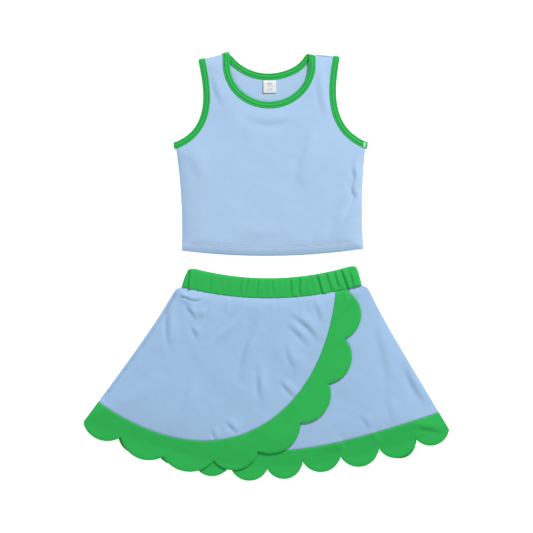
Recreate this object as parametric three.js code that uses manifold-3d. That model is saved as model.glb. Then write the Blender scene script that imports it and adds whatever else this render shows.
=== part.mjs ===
// Cheer uniform: a sleeveless crop top and an A-line skirt with a mock-wrap overlay, laid flat, front up.
// Millimetres. X runs across the garments, Y runs up towards the neck, Z is up from the table.
// Each garment is drawn as a symmetric pattern first and is then laid down a little askew, as by hand.

import * as THREE from 'three';
import { mergeVertices } from 'three/addons/utils/BufferGeometryUtils.js';
import Module from 'manifold-3d';

const wasm = await Module();
wasm.setup();

// Cloth and thickness
const CLOTH = 1.0; // one ply of knit with its loft
const PLY_GAP = 0.3; // air between two plies that touch, and between sewn edges
const HOLLOW = 6.2; // room for the body between the back and the front of a garment
const SEAM_ALLOWANCE = 6; // overlocked edges inside the side, shoulder and waist seams

// Top
const NECK_HALF = 57.3; // from the centre to the binding's fold at the shoulder
const FRONT_NECK_STRAIGHT = 14.7; // the straight run below the shoulder
const FRONT_NECK_SCOOP = 54.3; // depth of the round scoop below that
const BACK_NECK_SAG = 27.6;
const SHOULDER_HALF = 102.6; // from the centre to the armhole's fold
const SHOULDER_DROP = 8;
const ARMHOLE_DEPTH = 119.2; // from the shoulder tip down to the underarm
const CHEST_HALF = 138.7;
const HEM_HALF = 131;
const TOP_SIDE = 156.8; // from the underarm to the hem, measured straight down
const SIDE_CURVE = 3.6; // how far the side seam draws in at mid-height
const TOP_HEM_SAG = 9;
const TOP_HEM_DEPTH = 12.3;
const ARMHOLE_HANDLES = { top: [-6.1, -34.5], bottom: [-55.7, 22.8] };
const BINDING_WIDTH = 10;
const BINDING_WALL = 0.5;
const RAW_EDGE_INSET = 2; // the panel's raw edge stops this far short of the binding's fold
const SHOULDER_JOIN = 3; // length of binding that turns from the front to the back at a seam
const LABEL = { width: 19.3, length: 18.5, thickness: 0.5, fold: 0.4 };

// Skirt
const WAIST_HALF = 120.4;
const WAIST_FLARE = 10.9; // the waistband is wider at its lower edge
const WAIST_END_HEIGHT = 27.5;
const WAIST_SAG = { top: 15.7, bottom: 17.2 };
const ELASTIC = { thickness: 1.3, insetBottom: 2 };
const HEM_CORNER_HALF = 265.4;
const SKIRT_DROP = 229.7; // from the waistband's top end down to the hem's corner
const HEM_HANDLE = [235, -80]; // how the hem leaves its corner
const BORDER = { side: 28.3, scallops: 10, depth: 17 };
const OVERLAY = {
  start: 110, // where its edge leaves the waistband, right of the centre
  edgeTop: [20.5, -64.7],
  edgeCorner: [312, -193],
  borderTop: 18.5, // the border's width at the waistband
  borderSide: 33.6, // and along the side seam
  seamTop: [-10.3, -179.2],
  seamCorner: [181.6, -125.9],
  scallops: 8,
  depth: 20,
};
const FOLD_CLEARANCE = 1.2; // each side of the line that the overlay folds up on
const FLAP_CLEARANCE = 3; // between the folding part and the waistband

// How the garments lie
const TOP_TURN = THREE.MathUtils.degToRad(1.1);
const TOP_PLACE = [3.6, 308];
const WAIST_PLACE = [8.5, -1.3];
const HEM_SHIFT = -8.5; // the hem's centre, left of the waist's
const WAIST_TIP = Math.tan(THREE.MathUtils.degToRad(0.86));
const HEM_TIP = Math.tan(THREE.MathUtils.degToRad(-1.3));

// Fineness of the outlines
const CURVE_STEPS = 16;
const LONG_CURVE_STEPS = 28;
const SCALLOP_STEPS = 7;
const BEYOND = 40; // how far a cutting shape reaches past what it cuts

const COLOURS = {
  knit: { color: 0xa6c4e2, roughness: 0.85, metalness: 0 },
  trim: { color: 0x32b458, roughness: 0.8, metalness: 0 },
  label: { color: 0xeceeee, roughness: 0.7, metalness: 0 },
  elastic: { color: 0xf1efe8, roughness: 0.75, metalness: 0 },
  thread: { color: 0x9dbbd9, roughness: 0.8, metalness: 0 },
};

const at = (x, y) => new THREE.Vector2(x, y);
const offsetBy = (point, [dx, dy]) => at(point.x + dx, point.y + dy);
const mirrored = (points) => points.map((p) => at(-p.x, p.y)).reverse();
const lowered = (points, by) => points.map((p) => at(p.x, p.y - by));

// ---- Solids ----

function toSolid(geometry) {
  geometry.deleteAttribute('normal');
  geometry.deleteAttribute('uv');
  const merged = mergeVertices(geometry, 1e-4);
  return new wasm.Manifold(
    new wasm.Mesh({
      numProp: 3,
      vertProperties: new Float32Array(merged.attributes.position.array),
      triVerts: new Uint32Array(merged.index.array),
    }),
  );
}

function toGeometry(solid) {
  const mesh = solid.getMesh();
  const geometry = new THREE.BufferGeometry();
  geometry.setAttribute('position', new THREE.BufferAttribute(mesh.vertProperties, 3));
  geometry.setIndex(new THREE.BufferAttribute(mesh.triVerts, 1));
  geometry.computeVertexNormals();
  return geometry;
}

function prism(points, [low, high]) {
  const shape = new THREE.Shape(points);
  const geometry = new THREE.ExtrudeGeometry(shape, { depth: high - low, bevelEnabled: false });
  geometry.translate(0, 0, low);
  return toSolid(geometry);
}

const join = (first, ...rest) => rest.reduce((solid, other) => solid.add(other), first);
const cut = (first, ...tools) => tools.reduce((solid, tool) => solid.subtract(tool), first);
const common = (first, ...rest) => rest.reduce((solid, other) => solid.intersect(other), first);

// ---- Curves ----

function cubic(start, startHandle, endHandle, end) {
  return new THREE.CubicBezierCurve(start, offsetBy(start, startHandle), offsetBy(end, endHandle), end);
}

// The curve as points, moved sideways to the right of its direction and run on past both of its ends.
function parallel(curve, distance, steps, runOn = 0) {
  const points = [];
  for (let i = 0; i <= steps; i += 1) {
    const tangent = curve.getTangentAt(i / steps);
    const point = curve.getPointAt(i / steps).addScaledVector(at(tangent.y, -tangent.x), distance);
    if (i === 0 && runOn > 0) points.push(point.clone().addScaledVector(tangent, -runOn));
    points.push(point);
    if (i === steps && runOn > 0) points.push(point.clone().addScaledVector(tangent, runOn));
  }
  return points;
}

// A shallow arc that hangs `sag` below its two ends, cut off at `reach` from the centre.
function hangingArc(half, endY, sag, reach) {
  const radius = (half * half + sag * sag) / (2 * sag);
  const points = [];
  for (let i = 0; i <= CURVE_STEPS; i += 1) {
    const x = -reach + (2 * reach * i) / CURVE_STEPS;
    points.push(at(x, endY - sag + radius - Math.sqrt(radius * radius - x * x)));
  }
  return points;
}

// Round scallops hung on a curve, bulging to the right of its direction.
function scallopedEdge(curve, count, depth) {
  const cusps = curve.getSpacedPoints(count);
  const edge = [];
  for (let i = 0; i < count; i += 1) {
    const along = cusps[i + 1].clone().sub(cusps[i]);
    const half = along.length() / 2;
    const radius = (half * half + depth * depth) / (2 * depth);
    const sweep = Math.asin(half / radius);
    along.normalize();
    const out = at(along.y, -along.x);
    const centre = cusps[i].clone().add(cusps[i + 1]).multiplyScalar(0.5);
    centre.addScaledVector(out, depth - radius);
    for (let step = 0; step < SCALLOP_STEPS; step += 1) {
      const angle = sweep * ((2 * step) / SCALLOP_STEPS - 1);
      const point = centre.clone().addScaledVector(along, radius * Math.sin(angle));
      edge.push(point.addScaledVector(out, radius * Math.cos(angle)));
    }
  }
  edge.push(cusps[count]);
  return edge;
}

// ---- Top: pattern, with the shoulder's neck end at y = 0 ----

const BINDING_THICKNESS = CLOTH + 2 * (PLY_GAP + BINDING_WALL);
const PLY_PITCH = CLOTH + PLY_GAP;
const topBack = {
  binding: [0, BINDING_THICKNESS],
  panel: [BINDING_WALL + PLY_GAP, BINDING_WALL + PLY_GAP + CLOTH],
};
topBack.hem = topBack.panel.map((z) => z + PLY_PITCH);
const topFront = { hem: [topBack.hem[1] + HOLLOW, topBack.hem[1] + HOLLOW + CLOTH] };
topFront.panel = topFront.hem.map((z) => z + PLY_PITCH);
topFront.binding = [
  topFront.panel[0] - PLY_GAP - BINDING_WALL,
  topFront.panel[1] + PLY_GAP + BINDING_WALL,
];
const topHeight = [topBack.binding[0], topFront.binding[1]];
const betweenTopPanels = [topBack.panel[1] + PLY_GAP, topFront.panel[0] - PLY_GAP];

const shoulderTip = at(SHOULDER_HALF, -SHOULDER_DROP);
const underarm = at(CHEST_HALF, -SHOULDER_DROP - ARMHOLE_DEPTH);
const topHemCorner = at(HEM_HALF, underarm.y - TOP_SIDE);

function topOutline() {
  const middle = at(
    (CHEST_HALF + HEM_HALF) / 2 - 2 * SIDE_CURVE,
    (underarm.y + topHemCorner.y) / 2,
  );
  const side = new THREE.QuadraticBezierCurve(underarm, middle, topHemCorner).getPoints(CURVE_STEPS);
  const hem = hangingArc(HEM_HALF, topHemCorner.y, TOP_HEM_SAG, HEM_HALF).reverse();
  const shoulderSlope = SHOULDER_DROP / (SHOULDER_HALF - NECK_HALF);
  const peak = at(0, NECK_HALF * shoulderSlope);
  return [peak, shoulderTip, ...side, ...hem.slice(1, -1), ...mirrored([shoulderTip, ...side])];
}

// The neck holes and the armholes, cut `inset` outside the folded edge of their bindings.
function frontNeckHole(inset) {
  const half = NECK_HALF + inset;
  const scoop = new THREE.EllipseCurve(
    0, -FRONT_NECK_STRAIGHT, half, FRONT_NECK_SCOOP + inset, Math.PI, 2 * Math.PI, false,
  );
  return [at(half, BEYOND), at(-half, BEYOND), ...scoop.getPoints(LONG_CURVE_STEPS)];
}

function backNeckHole(inset) {
  const radius = (NECK_HALF ** 2 + BACK_NECK_SAG ** 2) / (2 * BACK_NECK_SAG);
  const centre = radius - BACK_NECK_SAG;
  const arc = new THREE.EllipseCurve(
    0, centre, radius + inset, radius + inset, Math.PI, 2 * Math.PI, false,
  );
  return [at(radius + inset, centre + BEYOND), at(-radius - inset, centre + BEYOND),
    ...arc.getPoints(2 * LONG_CURVE_STEPS)];
}

function armhole(inset) {
  const { top, bottom } = ARMHOLE_HANDLES;
  const fold = cubic(shoulderTip, top, bottom, underarm);
  const edge = parallel(fold, inset, CURVE_STEPS, BINDING_WIDTH * 2);
  return [...edge, at(CHEST_HALF + BEYOND, edge.at(-1).y), at(CHEST_HALF + BEYOND, BEYOND),
    at(edge[0].x, BEYOND)];
}

const armholes = (inset, height) => join(
  prism(armhole(inset), height),
  prism(mirrored(armhole(inset)), height),
);

const topBody = (height, shift = 0) => prism(lowered(topOutline(), shift), height);

function topPanel(neckHole, levels) {
  const [low, high] = [Math.min(levels.panel[0], levels.hem[0]), Math.max(levels.panel[1], levels.hem[1])];
  const turnedUp = cut(topBody(levels.hem), aboveHem(levels.hem, TOP_HEM_DEPTH));
  const foldedEdge = cut(topBody([low, high]), aboveHem([low, high], CLOTH));
  const panel = cut(
    topBody(levels.panel),
    prism(neckHole(RAW_EDGE_INSET), levels.panel),
    armholes(RAW_EDGE_INSET, levels.panel),
  );
  return join(panel, turnedUp, foldedEdge);
}

// Everything more than `up` above the hem's folded edge.
function aboveHem(height, up) {
  const reach = CHEST_HALF + BEYOND;
  const edge = hangingArc(HEM_HALF, topHemCorner.y, TOP_HEM_SAG, reach);
  return prism([...lowered(edge, -up), at(reach, BEYOND), at(-reach, BEYOND)], height);
}

// One side of a binding, and the slot in it that the panel's raw edge sits in.
function bindingSide(hole, levels) {
  const strip = cut(prism(hole(BINDING_WIDTH), levels.binding), prism(hole(0), levels.binding));
  return common(strip, topBody(levels.binding));
}

function panelRoom(hole, levels) {
  const slot = [levels.panel[0] - PLY_GAP, levels.panel[1] + PLY_GAP];
  const reach = CHEST_HALF + BEYOND / 2;
  const [low, high] = [underarm.y - BEYOND, BEYOND / 2];
  const everywhere = [at(-reach, low), at(reach, low), at(reach, high), at(-reach, high)];
  return cut(prism(everywhere, slot), prism(hole(RAW_EDGE_INSET - PLY_GAP), slot));
}

// The stretch of a binding that passes from the front to the back, where it crosses a seam.
function bindingTurn(hole) {
  const strip = cut(prism(hole(RAW_EDGE_INSET - PLY_GAP), topHeight), prism(hole(0), topHeight));
  return common(strip, topBody(topHeight));
}

function neckBinding() {
  const shoulders = cut(topBody(topHeight), topBody(topHeight, SHOULDER_JOIN));
  const turns = join(bindingTurn(frontNeckHole), bindingTurn(backNeckHole));
  const ring = join(
    bindingSide(frontNeckHole, topFront),
    bindingSide(backNeckHole, topBack),
    common(turns, shoulders, prism(frontNeckHole(BINDING_WIDTH), topHeight)),
  );
  return cut(ring, panelRoom(frontNeckHole, topFront), panelRoom(backNeckHole, topBack));
}

function armholeBinding(side) {
  const hole = side > 0 ? armhole : (inset) => mirrored(armhole(inset));
  const shoulder = cut(topBody(topHeight), topBody(topHeight, SHOULDER_JOIN));
  const nearUnderarm = [at(0, underarm.y - BEYOND), at(side * (CHEST_HALF + BEYOND), underarm.y - BEYOND),
    at(side * (CHEST_HALF + BEYOND), underarm.y + 2 * SHOULDER_JOIN), at(0, underarm.y + 2 * SHOULDER_JOIN)];
  const ends = join(shoulder, prism(nearUnderarm, topHeight));
  const ring = join(
    bindingSide(hole, topFront),
    bindingSide(hole, topBack),
    common(bindingTurn(hole), ends),
  );
  return cut(ring, panelRoom(hole, topFront), panelRoom(hole, topBack));
}

// Overlocked seam allowances, standing between the two panels of the top.
function shoulderSeam(side) {
  const reach = side * (SHOULDER_HALF + BEYOND);
  const half = prism([at(0, -BEYOND), at(reach, -BEYOND), at(reach, BEYOND), at(0, BEYOND)],
    betweenTopPanels);
  const clear = BINDING_WIDTH + PLY_GAP;
  return cut(
    common(cut(topBody(betweenTopPanels), topBody(betweenTopPanels, SEAM_ALLOWANCE)), half),
    prism(frontNeckHole(clear), betweenTopPanels),
    prism(backNeckHole(clear), betweenTopPanels),
    armholes(clear, betweenTopPanels),
  );
}

function topSideSeam(side) {
  const inner = topOutline().map((p) => at(p.x - side * SEAM_ALLOWANCE, p.y));
  const chest = at(side * (CHEST_HALF + BEYOND), underarm.y);
  const hem = topHemCorner.y - BEYOND;
  const half = prism([at(0, hem), at(chest.x, hem), chest, at(0, chest.y)], betweenTopPanels);
  return cut(
    common(topBody(betweenTopPanels), aboveHem(betweenTopPanels, TOP_HEM_DEPTH + PLY_GAP), half),
    prism(inner, betweenTopPanels),
    armholes(BINDING_WIDTH + PLY_GAP, betweenTopPanels),
  );
}

// A woven label folded in two at its lower end and caught at its upper end under the back neck.
function neckLabel() {
  const { width, length, thickness, fold } = LABEL;
  const top = -BACK_NECK_SAG - BINDING_WIDTH - PLY_GAP;
  const low = topBack.panel[1] + PLY_GAP;
  const high = low + 2 * thickness + fold;
  const profile = new THREE.Shape([
    at(top, low), at(top - length, low), at(top - length, high), at(top, high),
    at(top, high - thickness), at(top - length + thickness, high - thickness),
    at(top - length + thickness, low + thickness), at(top, low + thickness),
  ]);
  const geometry = new THREE.ExtrudeGeometry(profile, { depth: width, bevelEnabled: false });
  // The profile is drawn in Y and Z, so its axes are turned round to match.
  const turn = new THREE.Matrix4().makeBasis(
    new THREE.Vector3(0, 1, 0), new THREE.Vector3(0, 0, 1), new THREE.Vector3(1, 0, 0),
  );
  geometry.applyMatrix4(turn).translate(-width / 2, 0, 0);
  return toSolid(geometry);
}

// ---- Skirt: pattern, with the top ends of the waistband at y = 0 ----

const skirtBack = { panel: [0, CLOTH], facing: [PLY_PITCH, PLY_PITCH + CLOTH] };
const frontBase = skirtBack.facing[1] + HOLLOW;
const frontPly = (n) => [frontBase + n * PLY_PITCH, frontBase + n * PLY_PITCH + CLOTH];
const skirtFront = { facing: frontPly(0), panel: frontPly(1) };
const overlayPly = { facing: frontPly(2), panel: frontPly(3) };
const betweenSkirtPanels = [skirtBack.panel[1] + PLY_GAP, skirtFront.panel[0] - PLY_GAP];

const WAIST_WALL = 2 * (CLOTH + PLY_GAP) + ELASTIC.thickness;
const waistBack = {
  outer: [0, CLOTH],
  elastic: [PLY_PITCH, PLY_PITCH + ELASTIC.thickness],
  inner: [WAIST_WALL - CLOTH, WAIST_WALL],
  wall: [0, WAIST_WALL],
};
const waistTop = 2 * WAIST_WALL + HOLLOW;
const flipped = ([low, high]) => [waistTop - high, waistTop - low];
const waistFront = Object.fromEntries(
  Object.entries(waistBack).map(([name, height]) => [name, flipped(height)]),
);

// Lays a point of the skirt's pattern on the table: the waist and the hem tip opposite ways.
function laid(p) {
  const down = THREE.MathUtils.clamp(-p.y / SKIRT_DROP, 0, 1);
  const tip = THREE.MathUtils.lerp(WAIST_TIP, HEM_TIP, down);
  return at(WAIST_PLACE[0] + p.x + HEM_SHIFT * down, WAIST_PLACE[1] + p.y + p.x * tip);
}

const skirtPrism = (points, height) => prism(points.map(laid), height);

const waistEnd = at(WAIST_HALF + WAIST_FLARE, -WAIST_END_HEIGHT);
const hemCorner = at(HEM_CORNER_HALF, -SKIRT_DROP);
const sideDirection = hemCorner.clone().sub(waistEnd).normalize();
const waistLowerEdge = (drop) => lowered(
  hangingArc(waistEnd.x, waistEnd.y, WAIST_SAG.bottom, waistEnd.x), drop,
);

// The waistband's outline, drawn in by `top`, `bottom` and `ends` from its edges.
function waistRegion({ top = 0, bottom = 0, ends = 0 }, height) {
  const upper = hangingArc(WAIST_HALF, 0, WAIST_SAG.top, WAIST_HALF);
  const lower = hangingArc(waistEnd.x, waistEnd.y, WAIST_SAG.bottom, waistEnd.x);
  const region = skirtPrism([...lowered(upper, top), ...lowered(lower, -bottom).reverse()], height);
  return ends === 0 ? region : common(region, betweenWaistEnds(ends, height));
}

function betweenWaistEnds(inset, height) {
  const levels = [BEYOND, 0, -WAIST_END_HEIGHT, -WAIST_END_HEIGHT - BEYOND];
  const right = levels.map((y) => at(WAIST_HALF - inset - (y * WAIST_FLARE) / WAIST_END_HEIGHT, y));
  return skirtPrism([...right, ...mirrored(right)], height);
}

// A casing of cloth folded over at the top, with the elastic inside and its lower edge open for sewing.
function waistbandCasing() {
  const innerEnds = CLOTH + ELASTIC.thickness + 2 * PLY_GAP;
  const through = [0, waistTop];
  const fold = (wall) => cut(waistRegion({}, wall), waistRegion({ top: CLOTH, bottom: -CLOTH }, wall));
  const half = ({ outer, inner, wall }) => join(
    waistRegion({}, outer), waistRegion({ ends: innerEnds }, inner), fold(wall),
  );
  const ends = cut(waistRegion({}, through), betweenWaistEnds(CLOTH, through));
  return join(half(waistBack), half(waistFront), ends);
}

function waistElastic() {
  const room = { top: CLOTH + PLY_GAP, bottom: ELASTIC.insetBottom, ends: CLOTH + PLY_GAP };
  const through = [waistBack.elastic[0], waistFront.elastic[1]];
  const inside = betweenWaistEnds(room.ends + ELASTIC.thickness, through);
  return join(
    waistRegion(room, waistBack.elastic),
    waistRegion(room, waistFront.elastic),
    cut(waistRegion(room, through), inside),
  );
}

// The front and back are cut alike. `up` measures back up the side seam from the hem's corner.
const alongSide = (up) => hemCorner.clone().addScaledVector(sideDirection, -up);

function hemCurve(up) {
  const right = alongSide(up);
  const [run, drop] = HEM_HANDLE;
  return cubic(at(-right.x, right.y), [run, drop], [-run, drop], right);
}

const hemSeam = (up = 0, drop = 0) => lowered(hemCurve(BORDER.side + up).getPoints(LONG_CURVE_STEPS), drop);

const skirtPanel = (height) => skirtPrism(
  [...waistLowerEdge(PLY_GAP), ...hemSeam().reverse()], height,
);

const hemBorder = (height, overlap, gap) => skirtPrism(
  [...scallopedEdge(hemCurve(0), BORDER.scallops, BORDER.depth), ...hemSeam(overlap, gap).reverse()],
  height,
);

const waistSeam = (height) => skirtPrism(
  [...waistLowerEdge(PLY_GAP), ...waistLowerEdge(PLY_GAP + SEAM_ALLOWANCE).reverse()], height,
);

function skirtSideSeam(side) {
  const clearOfWaist = (SEAM_ALLOWANCE + 3 * PLY_GAP) / -sideDirection.y;
  const top = waistEnd.clone().addScaledVector(sideDirection, clearOfWaist);
  const bottom = alongSide(BORDER.side + SEAM_ALLOWANCE + PLY_GAP);
  const inward = [-SEAM_ALLOWANCE, 0];
  const strip = [top, offsetBy(top, inward), offsetBy(bottom, inward), bottom];
  const outline = strip.map((p) => at(side * p.x, p.y));
  return cut(
    skirtPrism(outline, betweenSkirtPanels),
    hemBorder(betweenSkirtPanels, SEAM_ALLOWANCE, -PLY_GAP),
    skirtPrism([...waistLowerEdge(-BEYOND), ...waistLowerEdge(SEAM_ALLOWANCE + 2 * PLY_GAP).reverse()],
      betweenSkirtPanels),
  );
}

// ---- Overlay: sewn into the waistband and the left side seam, free along its scalloped edge ----

function onWaistEdge(x) {
  const sag = WAIST_SAG.bottom;
  const radius = (waistEnd.x ** 2 + sag ** 2) / (2 * sag);
  return at(x, waistEnd.y - sag + radius - Math.sqrt(radius * radius - x * x) - PLY_GAP);
}

const leftSide = (up) => at(-alongSide(up).x, alongSide(up).y);
const overlayEdge = cubic(
  leftSide(0), OVERLAY.edgeCorner, OVERLAY.edgeTop, onWaistEdge(OVERLAY.start),
);
const overlaySeam = cubic(
  leftSide(OVERLAY.borderSide), OVERLAY.seamCorner, OVERLAY.seamTop,
  onWaistEdge(OVERLAY.start - OVERLAY.borderTop),
);
const foldLine = [overlaySeam.getPoint(0), overlaySeam.getPoint(1)].map(laid);

function besideFold(height, side) {
  const along = foldLine[1].clone().sub(foldLine[0]).normalize();
  const across = at(along.y, -along.x).multiplyScalar(side);
  const reach = 2 * HEM_CORNER_HALF;
  const [start, end] = [foldLine[0].clone().addScaledVector(along, -reach),
    foldLine[1].clone().addScaledVector(along, reach)];
  const near = [start, end].map((p) => p.clone().addScaledVector(across, FOLD_CLEARANCE));
  const far = [end, start].map((p) => p.clone().addScaledVector(across, reach));
  return prism([...near, ...far], height);
}

function belowWaist(height, drop) {
  const reach = HEM_CORNER_HALF + BEYOND;
  const low = -2 * SKIRT_DROP;
  return skirtPrism([...waistLowerEdge(drop), at(reach, waistEnd.y - drop), at(reach, low),
    at(-reach, low), at(-reach, waistEnd.y - drop)], height);
}

function overlayPanel(height) {
  const seam = overlaySeam.getPoints(LONG_CURVE_STEPS);
  const waist = waistLowerEdge(PLY_GAP).filter((p) => p.x < seam.at(-1).x);
  return skirtPrism([...seam, ...waist.reverse()], height);
}

function overlayBorder(height, overlap) {
  const edge = scallopedEdge(overlayEdge, OVERLAY.scallops, OVERLAY.depth);
  const seam = parallel(overlaySeam, -overlap, LONG_CURVE_STEPS).reverse();
  return skirtPrism([...edge, ...seam], height);
}

const flapPiece = (solid, height) => common(
  solid, besideFold(height, 1), belowWaist(height, FLAP_CLEARANCE),
);

// ---- Assembly ----

const materials = Object.fromEntries(
  Object.entries(COLOURS).map(([name, look]) => [name, new THREE.MeshStandardMaterial(look)]),
);

function piece(name, solid, material) {
  const mesh = new THREE.Mesh(toGeometry(solid), materials[material]);
  mesh.name = name;
  return mesh;
}

function buildTop() {
  const top = new THREE.Group();
  top.add(
    piece('top_back_panel', topPanel(backNeckHole, topBack), 'knit'),
    piece('top_front_panel', topPanel(frontNeckHole, topFront), 'knit'),
    piece('neck_binding', neckBinding(), 'trim'),
    piece('neck_label', neckLabel(), 'label'),
  );
  for (const [hand, side] of [['left', -1], ['right', 1]]) {
    top.add(
      piece(`armhole_binding_${hand}`, armholeBinding(side), 'trim'),
      piece(`shoulder_seam_${hand}`, shoulderSeam(side), 'thread'),
      piece(`top_side_seam_${hand}`, topSideSeam(side), 'thread'),
    );
  }
  top.rotation.z = TOP_TURN;
  top.position.set(...TOP_PLACE, 0);
  return top;
}

function buildSkirt() {
  const skirt = new THREE.Group();
  const { panel, facing } = overlayPly;
  skirt.add(
    piece('waistband_casing', waistbandCasing(), 'trim'),
    piece('waist_elastic', waistElastic(), 'elastic'),
    piece('skirt_back_panel', skirtPanel(skirtBack.panel), 'knit'),
    piece('skirt_front_panel', skirtPanel(skirtFront.panel), 'knit'),
    piece('back_hem_border', hemBorder(skirtBack.panel, 0, PLY_GAP), 'trim'),
    piece('back_hem_facing', hemBorder(skirtBack.facing, SEAM_ALLOWANCE, 0), 'trim'),
    piece('front_hem_border', hemBorder(skirtFront.panel, 0, PLY_GAP), 'trim'),
    piece('front_hem_facing', hemBorder(skirtFront.facing, SEAM_ALLOWANCE, 0), 'trim'),
    piece('waist_seam_back', waistSeam(skirtBack.facing), 'thread'),
    piece('waist_seam_front', waistSeam(skirtFront.facing), 'thread'),
    piece('skirt_side_seam_left', skirtSideSeam(-1), 'thread'),
    piece('skirt_side_seam_right', skirtSideSeam(1), 'thread'),
    piece('overlay_panel', common(overlayPanel(panel), besideFold(panel, -1)), 'knit'),
    piece('overlay_flap_panel', flapPiece(overlayPanel(panel), panel), 'knit'),
    piece('overlay_flap_border', flapPiece(overlayBorder(panel, -PLY_GAP), panel), 'trim'),
    piece('overlay_flap_facing', flapPiece(overlayBorder(facing, SEAM_ALLOWANCE), facing), 'trim'),
  );
  return skirt;
}

const group = new THREE.Group();
group.name = 'cheer_uniform';
group.add(buildTop(), buildSkirt());

// The origin is the middle of the footprint, on the table.
const box = new THREE.Box3().setFromObject(group, true);
const middle = box.getCenter(new THREE.Vector3());
group.position.set(-middle.x, -middle.y, -box.min.z);
group.updateMatrixWorld(true);

export default group;
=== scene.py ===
"""Cheer uniform laid out flat: a sleeveless crop top above a scallop-edged wrap skirt.

Every length below is in millimetres unless its name says otherwise; meshes are written in metres.
"""
import logging
import math
from dataclasses import dataclass
from enum import Enum

import bpy
import numpy as np
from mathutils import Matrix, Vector, geometry


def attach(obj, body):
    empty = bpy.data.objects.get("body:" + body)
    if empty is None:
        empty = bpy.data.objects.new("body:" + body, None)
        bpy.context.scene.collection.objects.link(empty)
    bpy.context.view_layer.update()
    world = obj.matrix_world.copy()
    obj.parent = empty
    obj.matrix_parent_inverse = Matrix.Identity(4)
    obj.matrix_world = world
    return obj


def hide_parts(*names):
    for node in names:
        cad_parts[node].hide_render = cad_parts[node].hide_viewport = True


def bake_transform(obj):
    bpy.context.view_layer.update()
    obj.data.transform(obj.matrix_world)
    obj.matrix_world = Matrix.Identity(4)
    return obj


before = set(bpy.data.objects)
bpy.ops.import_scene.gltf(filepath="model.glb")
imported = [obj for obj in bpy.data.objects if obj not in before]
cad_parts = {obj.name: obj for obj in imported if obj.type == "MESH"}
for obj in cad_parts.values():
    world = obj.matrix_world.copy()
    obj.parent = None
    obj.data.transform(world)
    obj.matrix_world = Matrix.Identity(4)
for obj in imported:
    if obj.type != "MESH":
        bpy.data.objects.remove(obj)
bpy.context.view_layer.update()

logging.basicConfig(level=logging.INFO, format="%(name)s: %(message)s")
LOG = logging.getLogger("cheer_uniform")

MM = 0.001
Points = np.ndarray
# Origins and cross vectors of a strip's sections.
Placed = tuple[Points, Points]
# Drawn thickness of one ply; a border and its facing lie half a ply either side of their surface.
CLOTH = 1.0
PLY_SHIFT = 0.5
PAIRED_PLY = 0.98
SEAM_ALLOWANCE = 6.0
# How far the skirt's panels reach up into the waistband.
UNDER_CASING = 5.5
# Brings the layout's middle to the frame's origin along Y.
CENTRE_SHIFT = -1.2216
# A groove's span that takes in both ends of its line.
WHOLE = (-1, 2)
SIDES = ((1, "right"), (-1, "left"))


# ------------------------------------------------------------------ drawn lines


def cubic(a, b, c, d, count: int = 80) -> Points:
    """Points along a cubic curve.

    Args:
        a, b, c, d: start, the two handles and the end.
        count: how many points.
    Returns:
        (count, 2) array.
    """
    t = np.linspace(0, 1, count)[:, None]
    a, b, c, d = (np.asarray(p, float) for p in (a, b, c, d))
    return (1 - t) ** 3 * a + 3 * (1 - t) ** 2 * t * b + 3 * (1 - t) * t**2 * c + t**3 * d


def quadratic(a, b, c, count: int = 60) -> Points:
    """Points along a quadratic curve from a to c with handle b."""
    t = np.linspace(0, 1, count)[:, None]
    a, b, c = (np.asarray(p, float) for p in (a, b, c))
    return (1 - t) ** 2 * a + 2 * (1 - t) * t * b + t**2 * c


def hanging_arc(half: float, end_y: float, sag: float, count: int = 90) -> Points:
    """A circular arc that hangs between (-half, end_y) and (half, end_y), sag below its ends."""
    radius = (half**2 + sag**2) / (2 * sag)
    x = np.linspace(-half, half, count)
    return np.c_[x, end_y - sag + radius - np.sqrt(radius**2 - x**2)]


def mirrored(points: Points) -> Points:
    """The same line on the other side of x = 0, run the other way."""
    return (points * (-1, 1))[::-1]


def join(*parts: Points) -> Points:
    """Runs several lines into one, leaving out repeated points."""
    line = np.vstack(parts)
    keep = np.r_[True, np.hypot(*np.diff(line, axis=0).T) > 1e-3]
    return line[keep]


def arc_length(points: Points) -> Points:
    """Distance from the first point to each point."""
    return np.r_[0, np.cumsum(np.linalg.norm(np.diff(points, axis=0), axis=1))]


def resampled(points: Points, spacing: float) -> Points:
    """The same line with its points evenly spaced."""
    at = arc_length(points)
    count = max(2, int(round(at[-1] / spacing)) + 1)
    to = np.linspace(0, at[-1], count)
    return np.column_stack([np.interp(to, at, column) for column in points.T])


def densified(points: Points, spacing: float) -> Points:
    """The same line with points added between its own, so that corners stay."""
    rows = [points[:1]]
    for a, b in zip(points[:-1], points[1:]):
        count = max(1, int(math.ceil(np.linalg.norm(b - a) / spacing)))
        rows.append(a + (b - a) * np.linspace(0, 1, count + 1)[1:, None])
    return np.vstack(rows)


def softened(points: Points, rounds: int = 3) -> Points:
    """Cuts the corners of a drawn line so that it bends smoothly."""
    for _ in range(rounds):
        a, b = points[:-1], points[1:]
        cut = np.stack([0.75 * a + 0.25 * b, 0.25 * a + 0.75 * b], 1).reshape(-1, 2)
        points = np.vstack([points[:1], cut, points[-1:]])
    return points


def left_normals(points: Points) -> Points:
    """Unit vectors to the left of an open line, one at each point."""
    along = np.gradient(points, axis=0)
    along /= np.linalg.norm(along, axis=1)[:, None]
    return np.c_[-along[:, 1], along[:, 0]]


def signed_area(loop: Points) -> float:
    """Area inside a loop, positive if it runs anticlockwise."""
    x, y = loop.T
    return 0.5 * float(np.sum(x * np.roll(y, -1) - np.roll(x, -1) * y))


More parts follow.
